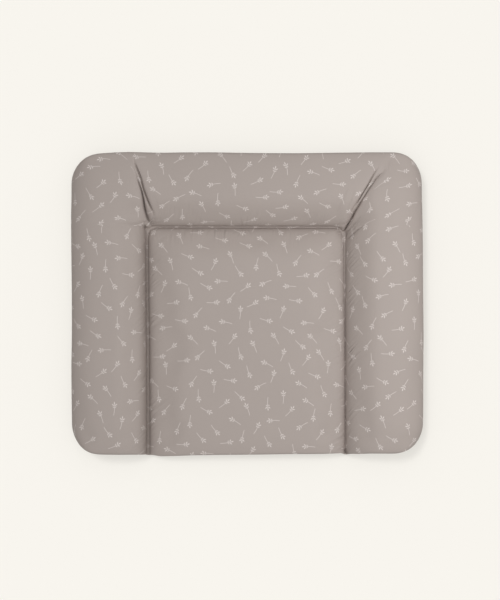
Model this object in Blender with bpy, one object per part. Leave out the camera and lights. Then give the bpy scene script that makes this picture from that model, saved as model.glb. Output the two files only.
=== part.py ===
"""A changing mat with three raised bolsters.

A printed top film is welded to a plain base film along the rim and along three channels, which
leaves a flat centre pad inside a U of side, head and side bolsters. Each pad holds a foam core
under a layer of fleece. Sizes are in metres, +X to the right, +Y to the head end, +Z up, and the
origin is on the floor under the middle of the mat.
"""

import math

import bmesh
import bpy
from mathutils import Vector

# Overall sizes of the filled mat.
MAT_WIDTH = 0.850
MAT_DEPTH = 0.730
CORNER_RADIUS = 0.077
BOLSTER_HEIGHT = 0.080
PAD_HEIGHT = 0.050

# Width of each bolster, from the outline to the middle of its welded channel.
SIDE_BOLSTER_WIDTH = 0.187
HEAD_BOLSTER_WIDTH = 0.182

# The two films and the welds that join them.
FILM_THICKNESS = 0.0008
WELD_WIDTH = 0.007
WELD_HEIGHT = 0.016
CLEARANCE = 0.0003

# The rim weld is a narrow flange that the stuffed edge hangs over.
FLANGE_SETBACK = 0.002
FLANGE_WIDTH = 0.006

# How far in from a weld or from the outline a pad has risen to its full height.
BOLSTER_WELD_RUN = 0.075
BOLSTER_RIM_RUN = 0.086
PAD_WELD_RUN = 0.085
PAD_RIM_RUN = 0.062
UNDERSIDE_RUN = 0.028
WELD_WALL_RUN = 0.0022

# The pleats that run outwards from the inner corners, across the head bolster.
LEFT_CREASE_LEAN = 0.045
LEFT_CREASE_REACH = 0.160
RIGHT_CREASE_LEAN = 0.092
RIGHT_CREASE_REACH = 0.150
CREASE_FLOOR_WIDTH = 0.003

# The fillings.
FOOT_MARGIN = 0.005
FOAM_INSET = 0.062
BOLSTER_FOAM_HEIGHT = 0.050
PAD_FOAM_HEIGHT = 0.028
FOAM_BEVEL = 0.008

# Breather holes punched through the base film.
VENT_RADIUS = 0.0025
VENT_SPACING = 0.060

# Shapes that the sizes above scale.
SIDE_BULGE_SHARE = 0.34
END_BULGE_SHARE = 0.80
WELD_WALL_POWER = 1.65
SIDE_WALL_SHARE = 0.13
HEAD_WALL_SHARE = 0.24
PAD_SIDE_WALL_SHARE = 0.06
PAD_BACK_WALL_SHARE = 0.09
RIM_WALL_POWER = 2.1
UNDERSIDE_POWER = 2.0
CREASE_RISE_POWER = 0.85
# Across the rim, from the flange's edge to the outline: height shares of the stuffed edge.
RIM_LEVEL_SHARES = (0.0, 0.0, 0.42, 1.0)
UNDERCUT_SHARE = 0.35
# Lines between the outline and the corner radius, as shares of that radius.
SHOULDER_SHARES = (0.08, 0.34, 1.0)
# Lines between the corner radius and the next weld, and across the centre pad.
SIDE_LINE_SHARES = (0.55, 0.88)
HEAD_LINE_SHARES = (0.55, 0.88)
PAD_HALF_LINE_SHARES = (0.05, 0.20, 0.50, 1.0)
PAD_DEPTH_LINE_SHARES = (0.55, 0.86, 0.975)
# Lines of the base film, as shares of the underside's run.
BASE_RUN_SHARES = (0.28, 1.0)

VENT_FACES = 12
VENTS_PER_PAD = 2

HALF_WIDTH = MAT_WIDTH / 2
HALF_DEPTH = MAT_DEPTH / 2
WELD_X = HALF_WIDTH - SIDE_BOLSTER_WIDTH
WELD_Y = HALF_DEPTH - HEAD_BOLSTER_WIDTH
HALF_WELD = WELD_WIDTH / 2
TOP_WELD_Z = WELD_HEIGHT + CLEARANCE / 2 + FILM_THICKNESS
BASE_WELD_Z = WELD_HEIGHT - CLEARANCE / 2 - FILM_THICKNESS
FLANGE_INNER = FLANGE_SETBACK + FLANGE_WIDTH
CREASE_START_Y = WELD_Y + HALF_WELD
CORE_OFFSET = FILM_THICKNESS + CLEARANCE * 1.5
CORE_FLOOR_Z = FILM_THICKNESS + CLEARANCE
SKIRT_RUN = FLANGE_INNER + UNDERSIDE_RUN + FOOT_MARGIN


def clear_scene():
    for obj in list(bpy.data.objects):
        bpy.data.objects.remove(obj)


def material(name, colour, roughness):
    made = bpy.data.materials.new(name)
    made.use_nodes = True
    shader = made.node_tree.nodes["Principled BSDF"]
    shader.inputs["Base Color"].default_value = (*colour, 1.0)
    shader.inputs["Roughness"].default_value = roughness
    shader.inputs["Metallic"].default_value = 0.0
    return made


def object_of(name, mesh, look):
    obj = bpy.data.objects.new(name, mesh)
    bpy.context.scene.collection.objects.link(obj)
    mesh.materials.append(look)
    return obj


def rise(share, power):
    """0 at share 0, climbing steeply and levelling off at 1 from share 1 on."""
    left = 1.0 - min(max(share, 0.0), 1.0)
    return (1.0 - left**power) ** (1.0 / power)


def segment_distance(x, y, start, end):
    run = end - start
    along = min(max((Vector((x, y)) - start).dot(run) / run.length_squared, 0.0), 1.0)
    return (Vector((x, y)) - start - run * along).length


def rim_distance(x, y):
    """How far a point lies inside the rounded outline."""
    out_x = abs(x) - (HALF_WIDTH - CORNER_RADIUS)
    out_y = abs(y) - (HALF_DEPTH - CORNER_RADIUS)
    round_part = math.hypot(max(out_x, 0.0), max(out_y, 0.0))
    return CORNER_RADIUS - round_part - min(max(out_x, out_y), 0.0)


def weld_distance(x, y):
    """How far a point lies from the edge of the nearest welded channel."""
    left_front = Vector((-WELD_X, -HALF_DEPTH))
    left_back = Vector((-WELD_X, WELD_Y))
    right_back = Vector((WELD_X, WELD_Y))
    right_front = Vector((WELD_X, -HALF_DEPTH))
    nearest = min(
        segment_distance(x, y, left_front, left_back),
        segment_distance(x, y, left_back, right_back),
        segment_distance(x, y, right_front, right_back),
    )
    return max(nearest - HALF_WELD, 0.0)


def in_centre_pad(x, y):
    return abs(x) < WELD_X and y < WELD_Y


def flank(distance, run, wall_share):
    """The rise beside a weld: a short steep wall, then a long soft shoulder."""
    wall = rise(distance / WELD_WALL_RUN, WELD_WALL_POWER)
    return wall_share * wall + (1.0 - wall_share) * rise(distance / run, WELD_WALL_POWER)


def weld_rise(x, y):
    """0 on a weld and 1 where the pad has its full height."""
    if in_centre_pad(x, y):
        across = flank(WELD_X - abs(x) - HALF_WELD, PAD_WELD_RUN, PAD_SIDE_WALL_SHARE)
        back = flank(WELD_Y - y - HALF_WELD, PAD_WELD_RUN, PAD_BACK_WALL_SHARE)
        return across * back / (across + back - across * back) if across and back else 0.0
    headward = max(math.atan2(y - WELD_Y, max(abs(x) - WELD_X, CLEARANCE)), 0.0) / (math.pi / 2)
    wall_share = SIDE_WALL_SHARE + (HEAD_WALL_SHARE - SIDE_WALL_SHARE) * headward
    return flank(weld_distance(x, y), BOLSTER_WELD_RUN, wall_share)


def bulge_share(x, y):
    """How high the rim bulges, as a share of the pad: less at the sides than at front and back."""
    to_side, to_end = HALF_WIDTH - abs(x), HALF_DEPTH - abs(y)
    endwise = to_side / max(to_side + to_end, FILM_THICKNESS)
    endwise = endwise * endwise * (3.0 - 2.0 * endwise)
    return SIDE_BULGE_SHARE + (END_BULGE_SHARE - SIDE_BULGE_SHARE) * endwise


def top_height(x, y):
    """Height of the top film's printed face, for a point inside the outline."""
    if in_centre_pad(x, y):
        height, run = PAD_HEIGHT, PAD_RIM_RUN
    else:
        height, run = BOLSTER_HEIGHT, BOLSTER_RIM_RUN
    edge = rise(rim_distance(x, y) / run, RIM_WALL_POWER)
    bulge = bulge_share(x, y)
    edge_share = bulge + (1.0 - bulge) * edge
    return TOP_WELD_Z + (height - TOP_WELD_Z) * edge_share * weld_rise(x, y)


def base_height(x, y):
    """Height of the base film's lower face: flat on the floor, drawn up at every weld."""
    run = min(weld_distance(x, y), max(rim_distance(x, y) - FLANGE_INNER, 0.0))
    drawn_up = 1.0 - rise(run / UNDERSIDE_RUN, UNDERSIDE_POWER)
    return BASE_WELD_Z * drawn_up


def crease_size(side):
    """How far a crease leans outwards and how far it reaches towards the head end."""
    if side < 0:
        return -LEFT_CREASE_LEAN, LEFT_CREASE_REACH
    return RIGHT_CREASE_LEAN, RIGHT_CREASE_REACH


def crease_lean(x):
    """Sideways shift, past the end of the creases, of the line that starts at x."""
    side = math.copysign(1.0, x)
    corner_x = HALF_WIDTH - CORNER_RADIUS
    if abs(x) <= WELD_X:
        return crease_size(side)[0] * abs(x) / WELD_X
    return crease_size(side)[0] * max((corner_x - abs(x)) / (corner_x - WELD_X), 0.0)


def crease_share(side, y):
    """0 at the inner corner and 1 from the outer end of a crease on."""
    return min(max((y - CREASE_START_Y) / crease_size(side)[1], 0.0), 1.0)


def between(start, end, shares):
    return [start + (end - start) * share for share in shares]


class Line:
    """One line of a film's grid: its place, and its count in from the outline."""

    def __init__(self, at, ring, on_weld=False):
        self.at = at
        self.ring = ring
        self.on_weld = on_weld


class Film:
    """A film as a grid of points: columns from left to right, rows from front to back."""

    def __init__(self, columns, rows, insets, flat_insets, height, rim_height):
        self.columns = columns
        self.rows = rows
        self.insets = insets
        self.flat_insets = flat_insets
        self.corner_ring = len(insets) - 1
        self.height = height
        self.rim_height = rim_height

    def inset(self, ring, weld_share):
        flat, full = self.flat_insets[ring], self.insets[ring]
        return flat + (full - flat) * weld_share

    def plan(self, column, row, weld_share):
        """Where a column and a row cross, with the lines bent round the rounded corners."""
        side = math.copysign(1.0, column.at)
        end = math.copysign(1.0, row.at)
        ring = min(column.ring, row.ring)
        inset = self.inset(min(ring, self.corner_ring), weld_share)
        if column.ring < self.corner_ring and row.ring < self.corner_ring:
            turned = (self.corner_ring - max(column.ring, row.ring)) / (self.corner_ring - ring)
            angle = math.pi / 4 * turned
            if column.ring > row.ring:
                angle = math.pi / 2 - angle
            reach = CORNER_RADIUS - inset
            return (
                side * (HALF_WIDTH - CORNER_RADIUS + reach * math.cos(angle)),
                end * (HALF_DEPTH - CORNER_RADIUS + reach * math.sin(angle)),
            )
        x = side * (HALF_WIDTH - inset) if column.ring < self.corner_ring else column.at
        y = end * (HALF_DEPTH - inset) if row.ring < self.corner_ring else row.at
        return x, y

    def point(self, column, row):
        ring = min(column.ring, row.ring)
        x, y = self.plan(column, row, 1.0)
        if ring < self.rim_height.rings:
            share = weld_rise(x, y)
            x, y = self.plan(column, row, share)
            return Vector((x, y, self.rim_height.at(ring, x, y, share)))
        return Vector((x, y, self.height(x, y)))

    def points(self):
        return [[self.point(column, row) for row in self.rows] for column in self.columns]


class TopRim:
    """Heights of the top film's rim: along the flange, then out and up to the bulging edge."""

    rings = len(RIM_LEVEL_SHARES)

    @staticmethod
    def at(ring, x, y, share):
        height = PAD_HEIGHT if in_centre_pad(x, y) else BOLSTER_HEIGHT
        bulge = (height - TOP_WELD_Z) * bulge_share(x, y) * share
        return TOP_WELD_Z + bulge * RIM_LEVEL_SHARES[ring]


class BaseRim:
    """The base film's rim is only its flange, in the plane of the welds."""

    rings = 2

    @staticmethod
    def at(ring, x, y, share):
        return BASE_WELD_Z


def mirrored_lines(outline, half_lines):
    """Rim lines on both sides of the middle, with the lines between them."""
    rings = range(len(outline))
    near = [Line(-at, ring) for ring, at in zip(rings, outline)]
    far = [Line(at, ring) for ring, at in zip(rings, outline)]
    return near + half_lines + far[::-1]


def top_film():
    corner_x = HALF_WIDTH - CORNER_RADIUS
    corner_y = HALF_DEPTH - CORNER_RADIUS
    shoulders = [CORNER_RADIUS * share for share in SHOULDER_SHARES]
    insets = [FLANGE_SETBACK, FLANGE_INNER, FLANGE_INNER * UNDERCUT_SHARE, 0.0] + shoulders
    step = SHOULDER_SHARES[0] * CORNER_RADIUS / len(RIM_LEVEL_SHARES)
    flat_insets = [step * count for count in range(len(RIM_LEVEL_SHARES))] + shoulders
    inner = len(insets)

    pad_edge = WELD_X - HALF_WELD
    side = between(corner_x, WELD_X + HALF_WELD, SIDE_LINE_SHARES)
    pad = between(pad_edge, 0.0, PAD_HALF_LINE_SHARES)
    left = [Line(-x, inner) for x in side] + [Line(-WELD_X - HALF_WELD, inner, True)]
    left += [Line(-pad_edge, inner, True)] + [Line(-x, inner) for x in pad]
    right = [Line(-line.at, inner, line.on_weld) for line in left[::-1]]
    columns = mirrored_lines([HALF_WIDTH - inset for inset in insets], left + right[1:])

    pad_back = WELD_Y - HALF_WELD
    rows = [Line(y, inner) for y in between(-corner_y, pad_back, PAD_DEPTH_LINE_SHARES)]
    rows += [Line(pad_back, inner, True), Line(WELD_Y + HALF_WELD, inner, True)]
    head = between(corner_y, WELD_Y + HALF_WELD, HEAD_LINE_SHARES)
    rows += [Line(y, inner) for y in head[::-1]]
    rows = mirrored_lines([HALF_DEPTH - inset for inset in insets], rows)
    return Film(columns, rows, insets, flat_insets, top_height, TopRim)


def base_film():
    run = [UNDERSIDE_RUN * share for share in BASE_RUN_SHARES]
    insets = [FLANGE_SETBACK, FLANGE_INNER] + [FLANGE_INNER + reach for reach in run] + [CORNER_RADIUS]
    inner = len(insets)
    offsets = [HALF_WELD] + [HALF_WELD + reach for reach in run]
    across = [-offset for offset in offsets[::-1]] + offsets
    left = [Line(-WELD_X + offset, inner) for offset in across]
    right = [Line(WELD_X + offset, inner) for offset in across]
    columns = mirrored_lines([HALF_WIDTH - inset for inset in insets], left + right)
    rows = [Line(WELD_Y + offset, inner) for offset in across]
    rows = mirrored_lines([HALF_DEPTH - inset for inset in insets], rows)
    return Film(columns, rows, insets, insets, base_height, BaseRim)


def fold_creases(film, points):
    """Leans the lines of the head bolster outwards and sinks the two creases between the pads."""
    for i, column in enumerate(film.columns):
        side = math.copysign(1.0, column.at)
        start = side * WELD_X if column.on_weld else column.at
        for j, row in enumerate(film.rows):
            point = points[i][j]
            if point.y <= WELD_Y:
                continue
            share = crease_share(side, point.y)
            if column.on_weld:
                narrowing = (1.0 - CREASE_FLOOR_WIDTH / WELD_WIDTH) * share
                point.x = start + (column.at - start) * (1.0 - narrowing)
            if column.ring >= film.corner_ring:
                point.x += crease_lean(start) * share
            if min(column.ring, row.ring) < TopRim.rings:
                continue
            point.z = top_height(point.x, point.y)
            if column.on_weld:
                point.z = TOP_WELD_Z + (point.z - TOP_WELD_Z) * share**CREASE_RISE_POWER


def grid_faces(column_count, row_count, start=0):
    faces = []
    for i in range(column_count - 1):
        for j in range(row_count - 1):
            corner = start + i * row_count + j
            across = corner + row_count
            faces.append((corner, across, across + 1))
            faces.append((corner, across + 1, corner + 1))
    return faces


def mesh_of(name, points, faces):
    mesh = bpy.data.meshes.new(name)
    mesh.from_pydata([tuple(point) for point in points], [], faces)
    mesh.update()
    return mesh


def add_thickness(obj, towards_inside):
    solidify = obj.modifiers.new("film thickness", "SOLIDIFY")
    solidify.thickness = FILM_THICKNESS
    solidify.offset = towards_inside


def normals_of(film, mesh):
    """The top film's own normals, in the order of its grid."""
    rows = len(film.rows)
    normals = [vert.normal.copy() for vert in mesh.vertices]
    return [normals[start : start + rows] for start in range(0, len(normals), rows)]


def make_top_sheet(film, points, look):
    flat = [point for line in points for point in line]
    faces = grid_faces(len(film.columns), len(film.rows))
    obj = object_of("top_sheet", mesh_of("top_sheet", flat, faces), look)
    add_thickness(obj, -1.0)
    obj.data.shade_smooth()
    return obj


def make_base_sheet(film, look):
    points = [point for line in film.points() for point in line]
    faces = [face[::-1] for face in grid_faces(len(film.columns), len(film.rows))]
    obj = object_of("base_sheet", mesh_of("base_sheet", points, faces), look)
    add_thickness(obj, -1.0)
    obj.data.shade_smooth()
    for cutter in vent_cutters():
        cut = obj.modifiers.new("breather hole", "BOOLEAN")
        cut.operation = "DIFFERENCE"
        cut.object = cutter
    return obj


def helper(obj):
    obj.hide_render = True
    obj.display_type = "WIRE"
    return obj


def vent_cutters():
    """Round cutters in pairs under the middle of each pad."""
    side_x = HALF_WIDTH - SIDE_BOLSTER_WIDTH / 2
    head_y = HALF_DEPTH - HEAD_BOLSTER_WIDTH / 2
    middle_y = (WELD_Y - HALF_DEPTH) / 2
    pads = (
        ((-side_x, middle_y), "y"),
        ((side_x, middle_y), "y"),
        ((0.0, middle_y), "x"),
        ((0.0, head_y), "x"),
    )
    cutters = []
    for (x, y), along in pads:
        for count in range(VENTS_PER_PAD):
            shift = (count - (VENTS_PER_PAD - 1) / 2) * VENT_SPACING
            place = (x + shift, y) if along == "x" else (x, y + shift)
            made = bmesh.new()
            bmesh.ops.create_cone(
                made,
                cap_ends=True,
                segments=VENT_FACES,
                radius1=VENT_RADIUS,
                radius2=VENT_RADIUS,
                depth=FILM_THICKNESS * 4,
            )
            mesh = bpy.data.meshes.new("vent_cutter")
            made.to_mesh(mesh)
            made.free()
            cutter = bpy.data.objects.new("vent_cutter", mesh)
            bpy.context.scene.collection.objects.link(cutter)
            cutter.location = (*place, FILM_THICKNESS / 2)
            cutters.append(helper(cutter))
    return cutters


def drawn_in(corners, run):
    """Plan points drawn in towards their middle, by run at each side of their box."""
    xs = [corner.x for corner in corners]
    ys = [corner.y for corner in corners]
    middle = Vector(((min(xs) + max(xs)) / 2, (min(ys) + max(ys)) / 2))
    half = Vector((max(xs), max(ys))) - middle
    shares = (1.0 - run / half.x, 1.0 - run / half.y)
    return [
        Vector((middle.x + (corner.x - middle.x) * shares[0], middle.y + (corner.y - middle.y) * shares[1]))
        for corner in corners
    ]


def fleece_mesh(name, points, normals, column_span, row_span):
    """A pad's fleece: the film's own form just under it, with a skirt that slopes in to a flat foot."""
    first, last = column_span
    front, back = row_span
    columns, rows = last - first + 1, back - front + 1
    verts = []
    for i in range(first, last + 1):
        for j in range(front, back + 1):
            verts.append(points[i][j] - normals[i][j] * CORE_OFFSET)
    faces = grid_faces(columns, rows)
    edge = [i * rows for i in range(columns)]
    edge += [(columns - 1) * rows + j for j in range(1, rows)]
    edge += [i * rows + rows - 1 for i in range(columns - 2, -1, -1)]
    edge += list(range(rows - 2, 0, -1))
    foot = drawn_in([verts[at] for at in edge], SKIRT_RUN)
    start = len(verts)
    verts += [Vector((corner.x, corner.y, CORE_FLOOR_Z)) for corner in foot]
    count = len(edge)
    for at in range(count):
        after = (at + 1) % count
        faces.append((edge[at], start + at, start + after, edge[after]))
    faces.append(tuple(start + at for at in reversed(range(count))))
    return mesh_of(name, verts, faces)


def foam_object(name, loop, height, floor, look):
    """A foam core: a block with bevelled upper edges on an anticlockwise plan."""
    made = bmesh.new()
    foot = made.faces.new([made.verts.new((corner.x, corner.y, floor)) for corner in loop])
    lifted = bmesh.ops.extrude_face_region(made, geom=[foot])
    crown = [part for part in lifted["geom"] if isinstance(part, bmesh.types.BMVert)]
    bmesh.ops.translate(made, verts=crown, vec=(0.0, 0.0, height - floor))
    edges = [edge for edge in made.edges if all(vert in crown for vert in edge.verts)]
    bmesh.ops.bevel(made, geom=edges, offset=FOAM_BEVEL, segments=2, profile=0.5, affect="EDGES")
    bmesh.ops.recalc_face_normals(made, faces=made.faces)
    mesh = bpy.data.meshes.new(name)
    made.to_mesh(mesh)
    made.free()
    return object_of(name, mesh, look)


def rectangle(left, right, front, back, inset):
    """A pad's plan without its creases, drawn in on every side."""
    x0, x1, y0, y1 = left + inset, right - inset, front + inset, back - inset
    return [Vector(corner) for corner in ((x0, y0), (x1, y0), (x1, y1), (x0, y1))]


def cut_along(loop, start, inward):
    """The part of an anticlockwise loop that lies on the inward side of a line through start."""
    kept = []
    for at, corner in enumerate(loop):
        before = loop[at - 1]
        depth_before, depth = (before - start).dot(inward), (corner - start).dot(inward)
        if depth_before * depth < 0.0:
            kept.append(before + (corner - before) * (depth_before / (depth_before - depth)))
        if depth >= 0.0:
            kept.append(corner)
    return kept


def cut_at_crease(loop, side, inward_side, inset):
    """Cuts a plan back to a crease, leaving the pad on the inward side of it."""
    run = Vector(crease_size(side)).normalized()
    inward = Vector((run.y, -run.x)) * inward_side
    start = Vector((side * WELD_X, CREASE_START_Y))
    return cut_along(loop, start + inward * inset, inward)


def foam_plans(inset):
    """Each foam core's plan, anticlockwise, and its height."""
    front, back, weld_y = -HALF_DEPTH, HALF_DEPTH, WELD_Y
    left = rectangle(-HALF_WIDTH, -WELD_X, front, back, inset)
    right = rectangle(WELD_X, HALF_WIDTH, front, back, inset)
    head = rectangle(-HALF_WIDTH, HALF_WIDTH, weld_y, back, inset)
    head = cut_at_crease(cut_at_crease(head, -1.0, 1.0, inset), 1.0, -1.0, inset)
    return {
        "left_bolster": (cut_at_crease(left, -1.0, -1.0, inset), BOLSTER_FOAM_HEIGHT),
        "right_bolster": (cut_at_crease(right, 1.0, 1.0, inset), BOLSTER_FOAM_HEIGHT),
        "head_bolster": (head, BOLSTER_FOAM_HEIGHT),
        "centre_pad": (rectangle(-WELD_X, WELD_X, front, weld_y, inset), PAD_FOAM_HEIGHT),
    }


def pad_spans(film):
    """The film lines that bound each pad's fleece, by column and by row."""
    outline = TopRim.rings - 1
    last_column = len(film.columns) - 1 - outline
    last_row = len(film.rows) - 1 - outline
    welds_x = [i for i, column in enumerate(film.columns) if column.on_weld]
    welds_y = [j for j, row in enumerate(film.rows) if row.on_weld]
    return {
        "left_bolster": ((outline, welds_x[0] - 1), (outline, last_row)),
        "right_bolster": ((welds_x[3] + 1, last_column), (outline, last_row)),
        "head_bolster": ((welds_x[1] + 1, welds_x[2] - 1), (welds_y[1] + 1, last_row)),
        "centre_pad": ((welds_x[1] + 1, welds_x[2] - 1), (outline, welds_y[0] - 1)),
    }


def make_fillings(film, points, normals, fleece_look, foam_look):
    spans = pad_spans(film)
    cores = foam_plans(FOAM_INSET)
    rooms = foam_plans(FOAM_INSET - CLEARANCE)
    for name, (plan, height) in cores.items():
        foam_object(f"{name}_foam", plan, height, CORE_FLOOR_Z, foam_look)
        room_plan = rooms[name][0]
        room = foam_object(f"{name}_foam_room", room_plan, height + CLEARANCE, -FILM_THICKNESS, foam_look)
        helper(room)
        mesh = fleece_mesh(f"{name}_fleece", points, normals, *spans[name])
        fleece = object_of(f"{name}_fleece", mesh, fleece_look)
        hollow = fleece.modifiers.new("room for the foam", "BOOLEAN")
        hollow.operation = "DIFFERENCE"
        hollow.object = room
        fleece.data.shade_smooth()


def main():
    clear_scene()
    printed_film = material("printed_film", (0.410, 0.352, 0.323), 0.55)
    plain_film = material("plain_film", (0.380, 0.326, 0.300), 0.60)
    fleece = material("fleece", (0.860, 0.860, 0.840), 0.95)
    foam = material("foam", (0.820, 0.790, 0.700), 0.90)
    film = top_film()
    points = film.points()
    fold_creases(film, points)
    top_sheet = make_top_sheet(film, points, printed_film)
    make_base_sheet(base_film(), plain_film)
    make_fillings(film, points, normals_of(film, top_sheet.data), fleece, foam)


main()
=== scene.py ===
import math

import bmesh
import bpy
import numpy as np
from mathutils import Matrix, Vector

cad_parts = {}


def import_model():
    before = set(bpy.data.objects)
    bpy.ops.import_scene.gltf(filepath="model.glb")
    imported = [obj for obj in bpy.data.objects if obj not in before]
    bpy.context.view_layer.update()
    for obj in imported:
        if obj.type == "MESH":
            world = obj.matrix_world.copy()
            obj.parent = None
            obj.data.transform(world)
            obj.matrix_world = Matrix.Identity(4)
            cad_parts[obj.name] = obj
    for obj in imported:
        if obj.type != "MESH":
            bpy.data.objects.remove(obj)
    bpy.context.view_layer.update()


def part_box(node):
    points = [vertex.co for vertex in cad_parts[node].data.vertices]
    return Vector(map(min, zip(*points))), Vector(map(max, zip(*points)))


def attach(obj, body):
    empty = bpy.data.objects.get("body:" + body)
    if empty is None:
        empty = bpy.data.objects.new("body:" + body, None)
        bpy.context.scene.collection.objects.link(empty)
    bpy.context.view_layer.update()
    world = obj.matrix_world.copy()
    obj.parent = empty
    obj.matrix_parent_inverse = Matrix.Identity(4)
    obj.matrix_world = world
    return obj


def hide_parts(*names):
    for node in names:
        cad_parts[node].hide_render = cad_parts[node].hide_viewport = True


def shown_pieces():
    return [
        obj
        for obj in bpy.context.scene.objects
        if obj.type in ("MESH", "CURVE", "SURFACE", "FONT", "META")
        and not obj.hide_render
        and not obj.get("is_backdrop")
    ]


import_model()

# Overall sizes, read from the frame. Every length is in metres.
SHEET_LOW, SHEET_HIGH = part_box("top_sheet")
HALF_WIDTH = (SHEET_HIGH.x - SHEET_LOW.x) / 2
HALF_DEPTH = (SHEET_HIGH.y - SHEET_LOW.y) / 2
BOLSTER_TOP = SHEET_HIGH.z
WELD_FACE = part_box("base_sheet")[1].z

# The two films and the welds that join them.
FILM = 0.0008
AIR = 0.0003
CORNER_RADIUS = 0.077
SIDE_BOLSTER_WIDTH = 0.187
HEAD_BOLSTER_WIDTH = 0.182
PAD_TOP = 0.050
WELD_WIDTH = 0.007
HALF_WELD = WELD_WIDTH / 2
WELD_X = HALF_WIDTH - SIDE_BOLSTER_WIDTH
WELD_Y = HALF_DEPTH - HEAD_BOLSTER_WIDTH
TOP_WELD_Z = WELD_FACE + AIR + FILM
BASE_WELD_Z = WELD_FACE - FILM

# Runs over which a pad rises from a weld or from the outline.
BOLSTER_WELD_RUN = 0.075
BOLSTER_RIM_RUN = 0.086
PAD_WELD_RUN = 0.085
PAD_RIM_RUN = 0.062
UNDERSIDE_RUN = 0.028
SIDE_BULGE_SHARE = 0.34
END_BULGE_SHARE = 0.80
WELD_WALL_POWER = 1.65
LEFT_WALL_SHARE = 0.08
RIGHT_WALL_SHARE = 0.01
HEAD_WALL_SHARE = 0.12
PAD_LEFT_WALL_SHARE = 0.02
PAD_RIGHT_WALL_SHARE = 0.0
PAD_BACK_WALL_SHARE = 0.03
WALL_RUN = 0.0022
RIM_POWER = 2.0

# The rim weld: a flange that the stuffed edge hangs over.
FLANGE_SETBACK = 0.002
FLANGE_WIDTH = 0.006
FLANGE_INNER = FLANGE_SETBACK + FLANGE_WIDTH

# Breather holes in the base film, in pairs under each pad.
VENT_RADIUS = 0.0025
VENT_SPACING = 0.060
VENTS_PER_PAD = 2
VENT_SIDES = 32
VENT_CUTTER_DEPTH = 4 * FILM

# The foam cores and the fleece wrapped over them.
FLEECE_OFFSET = 0.0022
SKIRT_RUN = 0.041
CORE_FLOOR = FILM + AIR
FOAM_INSET = 0.062
FOAM_SLACK = 0.0008
FOAM_BEVEL = 0.008
FOAM_BEVEL_STEPS = 4
FOAM_EDGE_REACH = 0.002
FOAM_CORNER = 0.010
FOAM_CORNER_STEPS = 6
FOLD_START_Y = WELD_Y + HALF_WELD

# The photograph's scale and the middle of the mat in it.
PHOTO_SIZE = (500, 600)
MAT_MIDDLE_PX = (247.25, 303.6)
MAT_WIDTH_PX = 353.0
METRES_PER_PX = 2 * HALF_WIDTH / MAT_WIDTH_PX

# The camera's height over the floor, and the height at which the photograph's scale holds.
CAMERA_HEIGHT = 4.0
READING_HEIGHT = 0.04
FOLD_HEIGHT = 0.065

# Middles of the channels as the photograph shows them: the side ones from front to back, then the
# one below the head bolster from left to right. Half the width of each side channel follows, by
# height in the photograph, and half the real width of the head one.
LEFT_CHANNEL_PX = ((148.4, 453.0), (148.1, 345.0), (147.6, 310.0), (147.0, 240.0), (147.3, 228.0))
RIGHT_CHANNEL_PX = ((345.3, 453.0), (345.2, 345.0), (345.0, 310.0), (344.7, 232.0))
HEAD_CHANNEL_PX = ((147.0, 227.6), (152.0, 227.0), (250.0, 227.1), (335.0, 227.2), (339.5, 228.9),
                   (344.0, 231.0))
LEFT_HALVES_PX = ((227.0, 2.5), (233.0, 1.9), (240.0, 1.1), (345.0, 1.2), (453.0, 1.3))
RIGHT_HALVES_PX = ((235.0, 0.8), (262.0, 0.65), (330.0, 0.22), (453.0, 0.2))
HEAD_HALF_WELD = 0.0017

# The two lines of the fold at each inner corner, from the weld outwards.
LEFT_FOLD_OUTER_PX = ((149.6, 223.6), (147.0, 217.5), (144.9, 208.3), (144.1, 200.0), (142.4, 191.7),
                      (139.5, 183.3), (136.6, 174.0), (133.0, 166.0), (130.6, 157.0))
LEFT_FOLD_INNER_PX = ((152.4, 222.5), (153.8, 217.0), (153.3, 212.0), (149.9, 204.2), (147.0, 196.7),
                      (144.1, 189.2), (141.6, 178.3), (137.4, 168.3), (133.7, 159.5))
RIGHT_FOLD_INNER_PX = ((343.0, 230.8), (345.6, 224.5), (348.8, 218.0), (352.0, 211.5), (354.8, 206.6),
                       (357.2, 202.8), (361.3, 195.3), (365.5, 188.7), (369.7, 181.2), (374.3, 172.0),
                       (378.0, 167.8))
RIGHT_FOLD_OUTER_PX = ((344.6, 231.2), (348.0, 224.5), (351.7, 218.7), (354.7, 212.0), (358.0, 207.0),
                       (360.9, 202.0), (364.7, 196.2), (368.0, 190.3), (372.2, 184.5), (375.5, 178.7),
                       (379.7, 174.5), (383.4, 172.0))


def photo_point(place, height):
    """A pixel of the photograph as a place on the mat's plan, for what lies at that height."""
    scale = METRES_PER_PX * (CAMERA_HEIGHT - height) / (CAMERA_HEIGHT - READING_HEIGHT)
    return (place[0] - MAT_MIDDLE_PX[0]) * scale, (MAT_MIDDLE_PX[1] - place[1]) * scale


def rise(share, power):
    """0 at share 0, climbing steeply and levelling off at 1 from share 1 on."""
    return (1.0 - (1.0 - np.clip(share, 0.0, 1.0)) ** power) ** (1.0 / power)


def smooth(share):
    """0 up to share 0 and 1 from share 1 on, level at both ends."""
    share = np.clip(share, 0.0, 1.0)
    return share * share * (3.0 - 2.0 * share)


def segment_near(x, y, start, end):
    """Distance from a straight line between two places, and the share of the way along it."""
    run = (end[0] - start[0], end[1] - start[1])
    square = run[0] ** 2 + run[1] ** 2
    along = np.clip(((x - start[0]) * run[0] + (y - start[1]) * run[1]) / square, 0.0, 1.0)
    return np.hypot(x - start[0] - run[0] * along, y - start[1] - run[1] * along), along


def rim_distance(x, y):
    """How far a point lies inside the rounded outline."""
    out_x = np.abs(x) - (HALF_WIDTH - CORNER_RADIUS)
    out_y = np.abs(y) - (HALF_DEPTH - CORNER_RADIUS)
    bent = np.hypot(np.maximum(out_x, 0.0), np.maximum(out_y, 0.0))
    return CORNER_RADIUS - bent - np.minimum(np.maximum(out_x, out_y), 0.0)


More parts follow.
